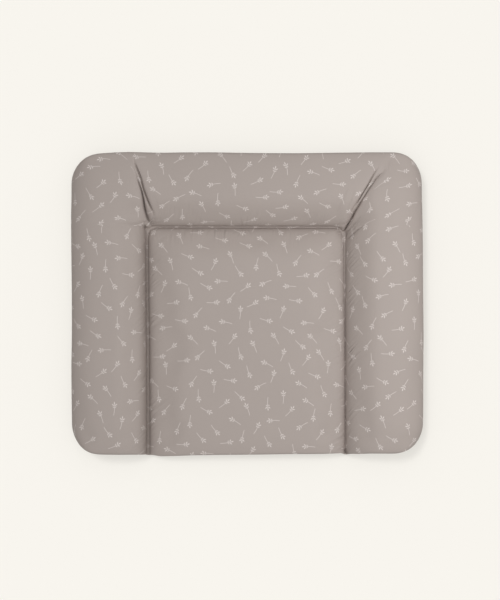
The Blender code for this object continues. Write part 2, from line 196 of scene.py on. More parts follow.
def weld_distance(x, y):
    """How far a point lies from the edge of the nearest welded channel."""
    corners = ((-WELD_X, -HALF_DEPTH), (-WELD_X, WELD_Y), (WELD_X, WELD_Y), (WELD_X, -HALF_DEPTH))
    nearest = np.full_like(x, HALF_WIDTH)
    for start, end in zip(corners, corners[1:]):
        nearest = np.minimum(nearest, segment_near(x, y, start, end)[0])
    return np.maximum(nearest - HALF_WELD, 0.0)


def in_centre_pad(x, y):
    return (np.abs(x) < WELD_X) & (y < WELD_Y)


def flank(distance, run, wall_share):
    """The rise beside a weld: a short steep wall, then a long soft shoulder."""
    wall = rise(distance / WALL_RUN, RIM_POWER)
    return wall_share * wall + (1.0 - wall_share) * rise(distance / run, WELD_WALL_POWER)


def weld_rise(x, y):
    """0 on a weld and 1 where the pad has its full height."""
    side_share = np.where(x < 0.0, PAD_LEFT_WALL_SHARE, PAD_RIGHT_WALL_SHARE)
    across = flank(WELD_X - np.abs(x) - HALF_WELD, PAD_WELD_RUN, side_share)
    back = flank(WELD_Y - y - HALF_WELD, PAD_WELD_RUN, PAD_BACK_WALL_SHARE)
    headward = np.arctan2(y - WELD_Y, np.maximum(np.abs(x) - WELD_X, AIR)) / (math.pi / 2)
    side_share = np.where(x < 0.0, LEFT_WALL_SHARE, RIGHT_WALL_SHARE)
    wall_share = side_share + (HEAD_WALL_SHARE - side_share) * smooth(headward)
    bolster = flank(weld_distance(x, y), BOLSTER_WELD_RUN, wall_share)
    pad = across * back / np.maximum(across + back - across * back, AIR)
    return np.where(in_centre_pad(x, y), pad, bolster)


def pad_top(x, y):
    return np.where(in_centre_pad(x, y), PAD_TOP, BOLSTER_TOP)


def bulge_share(x, y):
    """How high the rim bulges, as a share of the pad: lower at the sides than at the front and back."""
    to_side, to_end = HALF_WIDTH - np.abs(x), HALF_DEPTH - np.abs(y)
    endwise = smooth(to_side / np.maximum(to_side + to_end, AIR))
    return SIDE_BULGE_SHARE + (END_BULGE_SHARE - SIDE_BULGE_SHARE) * endwise


def top_height(x, y):
    """Height of the printed face over a point inside the outline."""
    run = np.where(in_centre_pad(x, y), PAD_RIM_RUN, BOLSTER_RIM_RUN)
    edge = rise(rim_distance(x, y) / run, RIM_POWER)
    bulge = bulge_share(x, y)
    share = bulge + (1.0 - bulge) * edge
    return TOP_WELD_Z + (pad_top(x, y) - TOP_WELD_Z) * share * weld_rise(x, y)


def base_height(x, y):
    """Height of the base film's lower face: flat on the floor, drawn up at every weld."""
    run = np.minimum(weld_distance(x, y), np.maximum(rim_distance(x, y) - FLANGE_INNER, 0.0))
    return BASE_WELD_Z * (1.0 - rise(run / UNDERSIDE_RUN, RIM_POWER))


def steps(start, end, step):
    """Evenly spaced places from start up to, but not with, end."""
    count = max(int(round(abs(end - start) / step)), 1)
    return list(np.linspace(start, end, count + 1)[:-1])


def quads(index):
    """The four-sided faces of a grid of point numbers."""
    corners = [index[:-1, :-1], index[1:, :-1], index[1:, 1:], index[:-1, 1:]]
    return np.stack(corners, axis=-1).reshape(-1, 4)


class Grid:
    """A film's lines from left to right and from front to back. Those near the outline are rings
    that run round the rounded corners, counted inwards to the corner's centre."""

    def __init__(self, insets, flat_insets, weld_offsets, bolster_step, pad_step):
        self.insets = np.array(insets)
        self.flat_insets = np.array(flat_insets)
        self.corner = len(insets) - 1
        outer_x = HALF_WIDTH - CORNER_RADIUS
        outer_y = HALF_DEPTH - CORNER_RADIUS
        reach = weld_offsets[-1]
        half = steps(outer_x, WELD_X + reach, bolster_step)
        half += [WELD_X + offset for offset in weld_offsets[::-1]]
        half += [WELD_X - offset for offset in weld_offsets]
        half += steps(WELD_X - reach, 0.0, pad_step)[1:]
        columns = [-place for place in half] + [0.0] + half[::-1]
        rows = steps(-outer_y, WELD_Y - reach, pad_step)
        rows += [WELD_Y - offset for offset in weld_offsets[::-1]]
        rows += [WELD_Y + offset for offset in weld_offsets]
        rows += steps(WELD_Y + reach, outer_y, bolster_step)[1:] + [outer_y]
        self.x, self.ring_x = self.with_rings(columns, HALF_WIDTH)
        self.y, self.ring_y = self.with_rings(rows, HALF_DEPTH)
        self.shape = (len(self.x), len(self.y))

    def with_rings(self, inner, half):
        rings = np.arange(self.corner)
        near = -(half - self.insets[:-1])
        places = np.concatenate([near, inner, -near[::-1]])
        return places, np.concatenate([rings, np.full(len(inner), self.corner), rings[::-1]])

    def plan(self, flatness):
        """Plan places of all crossings; flatness is 1 where the rim lies flat and 0 where it bulges."""
        column_ring, row_ring = np.meshgrid(self.ring_x, self.ring_y, indexing="ij")
        at_x, at_y = np.meshgrid(self.x, self.y, indexing="ij")
        ring = np.minimum(column_ring, row_ring)
        inset = self.insets[ring] + (self.flat_insets[ring] - self.insets[ring]) * flatness
        side, end = np.sign(at_x), np.sign(at_y)
        x = np.where(column_ring < self.corner, side * (HALF_WIDTH - inset), at_x)
        y = np.where(row_ring < self.corner, end * (HALF_DEPTH - inset), at_y)
        turned = (self.corner - np.maximum(column_ring, row_ring)) / np.maximum(self.corner - ring, 1)
        angle = math.pi / 4 * turned
        angle = np.where(column_ring > row_ring, math.pi / 2 - angle, angle)
        reach = CORNER_RADIUS - inset
        round_x = side * (HALF_WIDTH - CORNER_RADIUS + reach * np.cos(angle))
        round_y = end * (HALF_DEPTH - CORNER_RADIUS + reach * np.sin(angle))
        corner = (column_ring < self.corner) & (row_ring < self.corner)
        return np.where(corner, round_x, x), np.where(corner, round_y, y), ring

    def faces(self):
        return quads(np.arange(self.shape[0] * self.shape[1]).reshape(self.shape))


class Crease:
    """A groove along a path of the photograph, with its own depth at each point of the path. At
    power 1 it is a sharp line, at power 2 a soft hollow."""

    def __init__(self, places, depths, width, power=1.0):
        self.path = [photo_point(place, FOLD_HEIGHT) for place in places]
        self.depths, self.width, self.power = depths, width, power

    def near(self, x, y):
        """Distance from the path, and the depth at the path's nearest point."""
        away, depth = np.full_like(x, HALF_WIDTH), np.zeros_like(x)
        spans = zip(self.path, self.path[1:], self.depths, self.depths[1:])
        for start, end, first, last in spans:
            found, along = segment_near(x, y, start, end)
            depth = np.where(found < away, first + (last - first) * along, depth)
            away = np.minimum(found, away)
        return away, depth

    def pressed(self, x, y):
        away, depth = self.near(x, y)
        return depth * np.exp(-((away / self.width) ** self.power))

    def place(self, y):
        return np.interp(y, [point[1] for point in self.path], [point[0] for point in self.path])


LEFT_OUTER = Crease(
    LEFT_FOLD_OUTER_PX, (0.008, 0.013, 0.013, 0.012, 0.010, 0.005, 0.0, 0.0, 0.0), 0.0020)
LEFT_INNER = Crease(
    LEFT_FOLD_INNER_PX, (0.0, 0.0, 0.005, 0.009, 0.009, 0.009, 0.008, 0.006, 0.0), 0.0018)
RIGHT_OUTER = Crease(
    RIGHT_FOLD_OUTER_PX,
    (0.009, 0.014, 0.014, 0.012, 0.009, 0.008, 0.007, 0.006, 0.005, 0.004, 0.003, 0.0), 0.0017)
RIGHT_INNER = Crease(
    RIGHT_FOLD_INNER_PX, (0.0, 0.0, 0.0, 0.0, 0.002, 0.006, 0.007, 0.007, 0.006, 0.004, 0.0), 0.0018)
LEFT_THIRD_PX = ((143.0, 219.0), (144.0, 226.0), (144.8, 233.0), (145.2, 241.0))
RIGHT_SIDE_PX = ((347.4, 239.0), (352.2, 234.5), (356.3, 230.8), (361.3, 227.0), (365.5, 224.8))
CREASES = (
    LEFT_OUTER,
    LEFT_INNER,
    RIGHT_OUTER,
    RIGHT_INNER,
    Crease(LEFT_THIRD_PX, (0.0, 0.006, 0.007, 0.003), 0.0020),
    Crease(RIGHT_SIDE_PX, (0.003, 0.005, 0.005, 0.003, 0.0), 0.0022),
)
HOLLOW_WIDTH, HOLLOW_POWER = 0.013, 2.0
HOLLOWS = (
    Crease(
        LEFT_FOLD_OUTER_PX, (0.006, 0.006, 0.006, 0.005, 0.004, 0.002, 0.0, 0.0, 0.0),
        HOLLOW_WIDTH, HOLLOW_POWER),
    Crease(
        RIGHT_FOLD_OUTER_PX,
        (0.006, 0.006, 0.006, 0.006, 0.005, 0.005, 0.004, 0.003, 0.002, 0.001, 0.0, 0.0),
        HOLLOW_WIDTH, HOLLOW_POWER),
)


def pressed(creases, x, y):
    """How deep the deepest of some creases presses the film in."""
    deepest = np.zeros_like(x)
    for crease in creases:
        deepest = np.maximum(deepest, crease.pressed(x, y))
    return deepest


# The printed film's lines: along the flange, out and up to the bulging edge, and over the shoulder.
FLANGE_STEPS = 2
UNDERCUT_STEPS = 3
SHOULDER_STEPS = 8
SHOULDER_CROWDING = 1.6
FLAT_RIM_SHARE = 0.8
RIM_RINGS = FLANGE_STEPS + UNDERCUT_STEPS + 1
BOLSTER_STEP = 0.012
PAD_STEP = 0.013
STRIP_OFFSETS = [0.0007, 0.0019, 0.0029, HALF_WELD]
BESIDE_OFFSETS = [0.0044, 0.0056, 0.0072, 0.0094, 0.0124, 0.0165, 0.0220, 0.0290, 0.0380]
TOP_WELD_OFFSETS = STRIP_OFFSETS + BESIDE_OFFSETS


def top_grid():
    angle = np.linspace(0.0, math.pi / 2, UNDERCUT_STEPS + 1)[1:]
    flange = list(np.linspace(FLANGE_SETBACK, FLANGE_INNER, FLANGE_STEPS + 1))
    under = list(FLANGE_INNER * (1.0 - np.sin(angle)))
    shoulder = list(CORNER_RADIUS * np.linspace(0.0, 1.0, SHOULDER_STEPS + 1)[1:] ** SHOULDER_CROWDING)
    flat = list(np.linspace(0.0, shoulder[0] * FLAT_RIM_SHARE, RIM_RINGS))
    return Grid(flange + under + shoulder, flat + shoulder, TOP_WELD_OFFSETS, BOLSTER_STEP, PAD_STEP)


def rim_levels():
    """How far up the bulge each ring of the rim stands, as shares."""
    angle = np.linspace(0.0, math.pi / 2, UNDERCUT_STEPS + 1)[1:]
    return np.concatenate([np.zeros(FLANGE_STEPS + 1), 1.0 - np.cos(angle)])


def along(path, at, axis):
    """A path's place across an axis, at places along that axis."""
    points = [photo_point(place, TOP_WELD_Z) for place in path]
    return np.interp(at, [point[axis] for point in points], [point[1 - axis] for point in points])


def half_width(halves, y):
    """Half the width of a side channel at y, from its widths by height in the photograph."""
    height = MAT_MIDDLE_PX[1] - y / METRES_PER_PX
    return np.interp(height, [row[0] for row in halves], [row[1] for row in halves]) * METRES_PER_PX


# Runs over which the folds leave the side channels, and over which the head channel's wander dies out.
FOLD_LEAD = 0.020
CHANNEL_FADE = 0.030


def wandering(grid, x, y):
    """Leads the lines of the grid along the channels and folds as the photograph shows them."""
    edge_x, edge_y = HALF_WIDTH - CORNER_RADIUS, HALF_DEPTH - CORNER_RADIUS
    left, right = along(LEFT_CHANNEL_PX, y, 1), along(RIGHT_CHANNEL_PX, y, 1)
    share = smooth((y - WELD_Y) / FOLD_LEAD)
    lines = [np.full_like(y, -edge_x)]
    left_half, right_half = half_width(LEFT_HALVES_PX, y), half_width(RIGHT_HALVES_PX, y)
    for centre, reach, fold in (
        (left, -left_half, LEFT_OUTER), (left, left_half, LEFT_INNER),
        (right, -right_half, RIGHT_INNER), (right, right_half, RIGHT_OUTER),
    ):
        straight = centre + reach
        lines.append(straight + (fold.place(y) - straight) * share)
    lines.append(np.full_like(y, edge_x))
    base = [-edge_x, -WELD_X - HALF_WELD, -WELD_X + HALF_WELD]
    base += [-place for place in base[::-1]]
    moved_x = x.copy()
    free = grid.ring_x == grid.corner
    for i in np.nonzero(free)[0]:
        span = min(max(np.searchsorted(base, grid.x[i]) - 1, 0), len(base) - 2)
        share = (grid.x[i] - base[span]) / (base[span + 1] - base[span])
        moved_x[i] = lines[span][i] + (lines[span + 1][i] - lines[span][i]) * share
    beyond = np.clip((np.abs(moved_x) - WELD_X) / CHANNEL_FADE, 0.0, 1.0)
    shift = (along(HEAD_CHANNEL_PX, moved_x, 0) - WELD_Y) * (1.0 - beyond)
    near = np.interp(y, [-edge_y, WELD_Y, edge_y], [0.0, 1.0, 0.0])
    rows = [-edge_y, WELD_Y - HALF_WELD, WELD_Y + HALF_WELD, edge_y]
    narrower = (HALF_WELD - HEAD_HALF_WELD) * (1.0 - beyond) * np.interp(y, rows, [0.0, 1.0, -1.0, 0.0])
    return rounded_pad(moved_x, y + shift * near + narrower)


# How far each back corner of the centre pad is drawn in, and the corner of the channels outside it.
LEFT_CORNER_PULLS = (0.0013, 0.0032)
RIGHT_CORNER_PULLS = (0.0026, 0.0016)
PAD_CORNER_REACH = 0.008
OUTER_CORNER_REACH = 0.005


def rounded_pad(x, y):
    """Rounds the pad's two back corners and the channels' corners by drawing the lines near them in."""
    for side, inner, outer in ((-1.0, *LEFT_CORNER_PULLS), (1.0, *RIGHT_CORNER_PULLS)):
        away = np.hypot(x - side * (WELD_X - HALF_WELD), y - (WELD_Y - HALF_WELD))
        pull = inner * np.exp(-((away / PAD_CORNER_REACH) ** 2))
        away = np.hypot(x - side * (WELD_X + HALF_WELD), y - (WELD_Y + HALF_WELD))
        pull = pull + outer * np.exp(-((away / OUTER_CORNER_REACH) ** 2))
        x, y = x - side * pull, y - pull
    return x, y


def top_points(grid):
    """The printed film's form before it is simulated, and how much shade each point of it is in."""
    levels = rim_levels()
    x, y, ring = grid.plan(0.0)
    full = weld_rise(x, y)
    x, y, ring = grid.plan(1.0 - full)
    rim = ring < RIM_RINGS
    bulge = (pad_top(x, y) - TOP_WELD_Z) * bulge_share(x, y) * full
    z = np.where(rim, TOP_WELD_Z + bulge * levels[np.minimum(ring, RIM_RINGS - 1)], top_height(x, y))
    shade = flank_shade(x, y)
    x, y = wandering(grid, x, y)
    z = np.where(rim, z, np.maximum(z - pressed(HOLLOWS, x, y) - pressed(CREASES, x, y), TOP_WELD_Z))
    x, y = uneven_outline(x, y)
    return np.stack([x, y, z], axis=-1), shade


# How far each side of the mat stays inside a straight line, in pixels: for the front and back along
# the photograph's width, for the left and right down its height.
BACK_PX = ((78, 2.85), (90, 2.25), (100, 2.05), (115, 1.05), (130, 0.55), (160, 1.35), (190, 0.95),
           (215, 0.95), (250, 1.55), (295, 1.85), (340, 1.25), (370, 0.95), (400, 0.95), (416, 1.15))
FRONT_PX = ((78, 0.2), (100, 1.3), (130, 0.8), (142, -0.2), (152, -1.0), (160, -2.0), (170, -1.4),
            (190, -0.4), (215, 0.0), (260, 0.4), (290, 0.9), (330, 0.9), (342, 0.9), (345, 0.0),
            (348, -0.3), (351, 0.7), (358, 1.1), (370, 2.3), (416, 2.2))
LEFT_PX = ((452, 0.75), (425, 0.85), (395, 0.45), (365, 0.25), (335, 0.75), (290, 0.65), (245, 0.15),
           (215, -0.05), (200, 0.35), (160, 0.45))
RIGHT_PX = ((452, 0.7), (410, 0.2), (365, 0.1), (335, -0.2), (290, 0.3), (245, 0.5), (215, 1.0), (185, 1.7),
            (160, 1.3))
OUTLINE_REACH = 0.070


def uneven_outline(x, y):
    """Draws the outline in where the photograph shows it uneven, less and less towards the middle."""
    pixel_x = x / METRES_PER_PX + MAT_MIDDLE_PX[0]
    pixel_y = MAT_MIDDLE_PX[1] - y / METRES_PER_PX

    def drawn(at, table, inset):
        rows = sorted(table)
        fade = np.clip(1.0 - inset / OUTLINE_REACH, 0.0, 1.0) ** 2
        return np.interp(at, [row[0] for row in rows], [row[1] for row in rows]) * METRES_PER_PX * fade

    move_y = drawn(pixel_x, FRONT_PX, HALF_DEPTH + y) - drawn(pixel_x, BACK_PX, HALF_DEPTH - y)
    move_x = drawn(pixel_y, LEFT_PX, HALF_WIDTH + x) - drawn(pixel_y, RIGHT_PX, HALF_WIDTH - x)
    return x + move_x, y + move_y


# How far the shade over the left channel reaches outwards and inwards, and the run at its back end.
SHADE_REACH_OUT = 0.014
SHADE_REACH_IN = 0.0045
SHADE_FADE = 0.045


def flank_shade(x, y):
    """1 where the left bolster leans over its channel and keeps the light out, 0 away from it."""
    across = (x + WELD_X) / np.where(x < -WELD_X, SHADE_REACH_OUT, SHADE_REACH_IN)
    return np.exp(-across * across) * np.clip((WELD_Y - y) / SHADE_FADE, 0.0, 1.0)


def flat_cut(points):
    """Where each point lies on the film before it was formed: lengths along rows and along columns."""
    lengths = []
    for axis in (0, 1):
        runs = np.linalg.norm(np.diff(points, axis=axis), axis=-1)
        start = np.zeros_like(np.take(runs, [0], axis=axis))
        total = np.concatenate([start, np.cumsum(runs, axis=axis)], axis=axis)
        lengths.append(total - np.take(total, [points.shape[axis] // 2], axis=axis))
    return np.stack(lengths, axis=-1)


def select_only(*chosen):
    bpy.ops.object.select_all(action="DESELECT")
    for obj in chosen:
        obj.select_set(True)
        bpy.context.view_layer.objects.active = obj


def mesh_object(name, points, faces):
    mesh = bpy.data.meshes.new(name)
    mesh.from_pydata(np.asarray(points).reshape(-1, 3).tolist(), [], [list(face) for face in faces])
    mesh.update()
    obj = bpy.data.objects.new(name, mesh)
    bpy.context.scene.collection.objects.link(obj)
    return obj


def lay_uv(obj, places):
    layer = obj.data.uv_layers.new(name="flat_cut")
    corners = np.zeros(len(obj.data.loops), dtype=np.int32)
    obj.data.loops.foreach_get("vertex_index", corners)
    layer.data.foreach_set("uv", places.reshape(-1, 2)[corners].astype(np.float32).ravel())


def lay_mask(obj, name, values):
    mask = obj.data.attributes.new(name, "FLOAT", "POINT")
    mask.data.foreach_set("value", values.ravel().astype(np.float32))


def apply_modifiers(obj):
    select_only(obj)
    for modifier in list(obj.modifiers):
        bpy.ops.object.modifier_apply(modifier=modifier.name)


def subdivide(obj):
    modifier = obj.modifiers.new("finer", "SUBSURF")
    modifier.levels = modifier.render_levels = 1
    modifier.boundary_smooth = "PRESERVE_CORNERS"
    apply_modifiers(obj)


def thicken(obj):
    modifier = obj.modifiers.new("film", "SOLIDIFY")
    modifier.thickness = FILM
    modifier.offset = -1.0
    apply_modifiers(obj)


def cut_out(obj, *cutters):
    for cutter in cutters:
        modifier = obj.modifiers.new("cut", "BOOLEAN")
        modifier.operation = "DIFFERENCE"
        modifier.object = cutter
    apply_modifiers(obj)
    for cutter in cutters:
        bpy.data.objects.remove(cutter)


def coordinates(mesh):
    places = np.zeros(len(mesh.vertices) * 3)
    mesh.vertices.foreach_get("co", places)
    return places.reshape(-1, 3)


# How the printed film swells as cloth: kilograms to the square metre, stiffnesses and air pressure,
# its slack as a share, how far a point may move, and the run over which it comes free of a weld.
CLOTH_QUALITY = 6
CLOTH_MASS = 0.3
CLOTH_STRETCH = 40.0
CLOTH_SHEAR = 20.0
CLOTH_BEND = 0.2
CLOTH_PRESSURE = 1.0
SWELL_FRAMES = 20
SWELL_SLACK = 0.012
SWELL_CAP = 0.004
SWELL_RUN = 0.060
LEAST_MOVE = AIR**2


def swell(grid, points):
    """Swells a slightly sunken film between its welds, as cloth a little too large for its frame."""
    x, y = points[..., 0], points[..., 1]
    free = smooth(rim_distance(x, y) / SWELL_RUN) * smooth(weld_distance(x, y) / SWELL_RUN)
    points = points - free[..., None] * (0.0, 0.0, SWELL_CAP)
    obj = mesh_object("swelling", points, grid.faces())
    held = obj.vertex_groups.new(name="welds")
    held.add([int(at) for at in np.nonzero(held_points(grid).ravel())[0]], 1.0, "REPLACE")
    film = obj.modifiers.new("film", "CLOTH").settings
    film.quality = CLOTH_QUALITY
    film.mass = CLOTH_MASS
    film.tension_stiffness = film.compression_stiffness = CLOTH_STRETCH
    film.shear_stiffness = CLOTH_SHEAR
    film.bending_stiffness = CLOTH_BEND
    film.vertex_group_mass = held.name
    film.use_pressure = True
    film.uniform_pressure_force = CLOTH_PRESSURE
    film.shrink_min = -SWELL_SLACK
    film.effector_weights.gravity = 0.0
    scene = bpy.context.scene
    for step in range(1, SWELL_FRAMES + 1):
        scene.frame_set(step)
    evaluated = obj.evaluated_get(bpy.context.evaluated_depsgraph_get())
    moved = coordinates(evaluated.data) - points.reshape(-1, 3)
    scene.frame_set(1)
    bpy.data.objects.remove(obj)
    length = np.linalg.norm(moved, axis=1)
    share = free.ravel() * SWELL_CAP * np.tanh(length / SWELL_CAP) / np.maximum(length, LEAST_MOVE)
    return points + (moved * share[:, None]).reshape(points.shape)


def held_points(grid):
    """The film's welded places: its flange and the strips of the channels."""
    x, y, ring = grid.plan(0.0)
    flange = ring <= FLANGE_STEPS
    strip = (weld_distance(x, y) <= 0.0) & (y < WELD_Y + HALF_WELD)
    return flange | strip


def finish_piece(obj, node, look):
    obj.data.shade_smooth()
    obj.data.materials.clear()
    obj.data.materials.append(look)
    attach(obj, "root")
    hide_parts(node)


# How far from a channel's middle the puckers start, rise to their full depth and reach.
PUCKER_START = 0.003
PUCKER_RISE = 0.006
PUCKER_REACH = 0.022


def pucker_masks(x, y):
    """How near each point lies to the channel below the head bolster, and to the side channels."""
    beyond = np.maximum(np.abs(x) - WELD_X, 0.0)
    above = np.maximum(y - WELD_Y, 0.0)
    head = np.hypot(np.abs(y - WELD_Y), beyond)
    sides = np.hypot(np.abs(np.abs(x) - WELD_X), above)
    started = [smooth((away - PUCKER_START) / PUCKER_RISE) for away in (head, sides)]
    return [np.exp(-away / PUCKER_REACH) * share for away, share in zip((head, sides), started)]


def printed_film(grid, points, shade, look):
    obj = mesh_object("printed_film", points, grid.faces())
    flat = flat_cut(points)
    lay_uv(obj, flat)
    lay_mask(obj, "flank_shade", shade)
    for name, near in zip(("near_head", "near_sides"), pucker_masks(points[..., 0], points[..., 1])):
        lay_mask(obj, name, near)
    subdivide(obj)
    thicken(obj)
    finish_piece(obj, "top_sheet", look)


# The base film's lines: across a weld, up the run beside it, over the flat field, and at the edge.
BASE_STRIP_OFFSETS = [0.0012, HALF_WELD]
BASE_RUN_SHARES = (0.08, 0.22, 0.42, 0.68, 1.0)
BASE_FIELD_STEP = 0.016
BASE_EDGE_STEPS = 3


def base_film(look):
    """The plain film underneath, with its breather holes."""
    run = [UNDERSIDE_RUN * share for share in BASE_RUN_SHARES]
    inner = FLANGE_INNER + UNDERSIDE_RUN
    insets = list(np.linspace(FLANGE_SETBACK, FLANGE_INNER, FLANGE_STEPS + 1))
    insets += [FLANGE_INNER + reach for reach in run]
    insets += list(np.linspace(inner, CORNER_RADIUS, BASE_EDGE_STEPS + 1)[1:])
    offsets = BASE_STRIP_OFFSETS + [HALF_WELD + reach for reach in run]
    grid = Grid(insets, insets, offsets, BASE_FIELD_STEP, BASE_FIELD_STEP)
    x, y, _ = grid.plan(0.0)
    z = base_height(x, y)
    x, y = uneven_outline(x, y)
    points = np.stack([x, y, z], axis=-1)
    obj = mesh_object("base_film", points, grid.faces()[:, ::-1])
    flat = flat_cut(points)
    lay_uv(obj, flat)
    subdivide(obj)
    thicken(obj)
    cut_out(obj, vent_cutter())
    finish_piece(obj, "base_sheet", look)


def vent_cutter():
    """Round cutters in pairs under the middle of each pad, joined into one."""
    side_x = HALF_WIDTH - SIDE_BOLSTER_WIDTH / 2
    head_y = HALF_DEPTH - HEAD_BOLSTER_WIDTH / 2
    middle_y = (WELD_Y - HALF_DEPTH) / 2
    cutters = []
    pads = ((-side_x, middle_y, 0), (side_x, middle_y, 0), (0.0, middle_y, 1), (0.0, head_y, 1))
    for x, y, along_x in pads:
        for count in range(VENTS_PER_PAD):
            shift = (count - (VENTS_PER_PAD - 1) / 2) * VENT_SPACING
            place = (x + shift * along_x, y + shift * (1 - along_x), FILM / 2)
            select_only()
            bpy.ops.mesh.primitive_cylinder_add(
                vertices=VENT_SIDES, radius=VENT_RADIUS, depth=VENT_CUTTER_DEPTH, location=place)
            cutters.append(bpy.context.active_object)
    select_only(*cutters)
    bpy.ops.object.join()
    return bpy.context.active_object


def drawn_in(corners, run):
    """Plan points drawn in towards their middle, by run at each side of their box."""
    low, high = corners.min(axis=(0, 1)), corners.max(axis=(0, 1))
    middle, half = (low + high) / 2, (high - low) / 2
    return middle + (corners - middle) * (1.0 - run / half)


# The least upward share of a normal that the wadding's thickness is worked out from, for steep walls.
LEAST_UPWARD = 0.35


def below_film(grid, points):
    """Heights a wadding's thickness below the film, measured straight down from it."""
    obj = mesh_object("normals", points, grid.faces())
    normals = np.zeros(len(obj.data.vertices) * 3, dtype=np.float32)
    obj.data.vertices.foreach_get("normal", normals)
    bpy.data.meshes.remove(obj.data)
    upward = np.maximum(normals.reshape(*grid.shape, 3)[..., 2], LEAST_UPWARD)
    return points[..., 2] - FLEECE_OFFSET / upward


def fleece(name, points, heights, columns, rows, room, look):
    """A pad's fleece: the film's own form just under it, and a skirt that slopes in to a flat foot."""
    plan = points[columns, rows, :2]
    upper = np.dstack([drawn_in(plan, FLEECE_OFFSET), heights[columns, rows]])
    count = upper.shape[0] * upper.shape[1]
    foot = np.dstack([drawn_in(plan, SKIRT_RUN), np.full(upper.shape[:2], CORE_FLOOR)])
    index = np.arange(count).reshape(upper.shape[:2])
    upper_faces = quads(index)
    loop = np.concatenate([index[:, 0], index[-1, 1:], index[-2::-1, -1], index[0, -2:0:-1]])
    after = np.roll(loop, -1)
    skirt = np.stack([loop, loop + count, after + count, after], axis=-1)
    faces = np.concatenate([upper_faces, upper_faces[:, ::-1] + count, skirt])
    places = np.concatenate([upper.reshape(-1, 3), foot.reshape(-1, 3)])
    obj = mesh_object(f"{name}_wadding", places, faces)
    cut_out(obj, room)
    finish_piece(obj, f"{name}_fleece", look)


def foam_block(name, sides, top, floor, inset, cuts):
    """A foam core cut from a block, with rounded corners, eased upper edges and ends cut to the folds."""
    left, right, front, back = sides[0] + inset, sides[1] - inset, sides[2] + inset, sides[3] - inset
    middle = ((left + right) / 2, (front + back) / 2, (floor + top) / 2)
    select_only()
    bpy.ops.mesh.primitive_cube_add(size=1.0, location=middle)
    obj = bpy.context.active_object
    obj.name = obj.data.name = name
    obj.scale = (right - left, back - front, top - floor)
    bpy.ops.object.transform_apply(location=True, rotation=True, scale=True)
    bpy.ops.object.mode_set(mode="EDIT")
    for start, inward in cuts:
        bpy.ops.mesh.select_all(action="SELECT")
        place = (start[0] + inward[0] * inset, start[1] + inward[1] * inset, 0.0)
        bpy.ops.mesh.bisect(plane_co=place, plane_no=(*inward, 0.0), use_fill=True, clear_inner=True)
    eased = ((True, FOAM_CORNER, FOAM_CORNER_STEPS), (False, FOAM_BEVEL, FOAM_BEVEL_STEPS))
    for upright, width, segments in eased:
        select_edges(obj, upright, top)
        bpy.ops.mesh.bevel(offset=width, segments=segments, affect="EDGES", clamp_overlap=True)
    bpy.ops.object.mode_set(mode="OBJECT")
    return obj


def select_edges(obj, upright, top):
    """Selects a block's upright edges, or those round its upper face."""
    bpy.ops.mesh.select_mode(type="EDGE")
    bpy.ops.mesh.select_all(action="DESELECT")
    made = bmesh.from_edit_mesh(obj.data)
    for edge in made.edges:
        low, high = sorted(vert.co.z for vert in edge.verts)
        edge.select = high - low > FOAM_BEVEL if upright else low > top - FOAM_EDGE_REACH
    made.select_flush_mode()
    bmesh.update_edit_mesh(obj.data)


def fold_cut(side, inward_side):
    """Where a foam core is cut back to a fold, and the direction in which the core lies."""
    end = (LEFT_OUTER, RIGHT_OUTER)[side > 0].path[-1]
    run = Vector((end[0] - side * WELD_X, end[1] - FOLD_START_Y)).normalized()
    return (side * WELD_X, FOLD_START_Y), (run.y * inward_side, -run.x * inward_side)


def between(lines, low, high):
    """The grid's lines between two places, without those of the rim."""
    found = np.nonzero((lines > low) & (lines < high))[0]
    outline = RIM_RINGS - 1
    return slice(max(found[0], outline), min(found[-1], len(lines) - 1 - outline) + 1)


def fillings(grid, points, fleece_look, foam_look):
    """The wadding and the foam core of each pad."""
    heights = below_film(grid, points)
    beyond = HALF_WELD + AIR
    bolster_foam, pad_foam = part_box("left_bolster_foam")[1].z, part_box("centre_pad_foam")[1].z
    left = between(grid.x, -HALF_WIDTH, -WELD_X - beyond)
    middle = between(grid.x, -WELD_X + beyond, WELD_X - beyond)
    right = between(grid.x, WELD_X + beyond, HALF_WIDTH)
    front_to_back = between(grid.y, -HALF_DEPTH, HALF_DEPTH)
    pads = (
        ("left_bolster", left, front_to_back, bolster_foam,
         (-HALF_WIDTH, -WELD_X, -HALF_DEPTH, HALF_DEPTH), [fold_cut(-1.0, -1.0)]),
        ("right_bolster", right, front_to_back, bolster_foam,
         (WELD_X, HALF_WIDTH, -HALF_DEPTH, HALF_DEPTH), [fold_cut(1.0, 1.0)]),
        ("head_bolster", middle, between(grid.y, WELD_Y + beyond, HALF_DEPTH), bolster_foam,
         (-HALF_WIDTH, HALF_WIDTH, WELD_Y, HALF_DEPTH), [fold_cut(-1.0, 1.0), fold_cut(1.0, -1.0)]),
        ("centre_pad", middle, between(grid.y, -HALF_DEPTH, WELD_Y - beyond), pad_foam,
         (-WELD_X, WELD_X, -HALF_DEPTH, WELD_Y), []),
    )
    for name, column_span, row_span, top, sides, cuts in pads:
        room = foam_block("room", sides, top + FOAM_SLACK, -FILM, FOAM_INSET - FOAM_SLACK, cuts)
        fleece(name, points, heights, column_span, row_span, room, fleece_look)
        core = foam_block(f"{name}_core", sides, top, CORE_FLOOR, FOAM_INSET, cuts)
        finish_piece(core, f"{name}_foam", foam_look)
        core.data.shade_flat()


# The sockets of a Mix node that mixes colours.
MIX_SHARE, MIX_FIRST, MIX_SECOND, MIX_RESULT = 0, 6, 7, 2


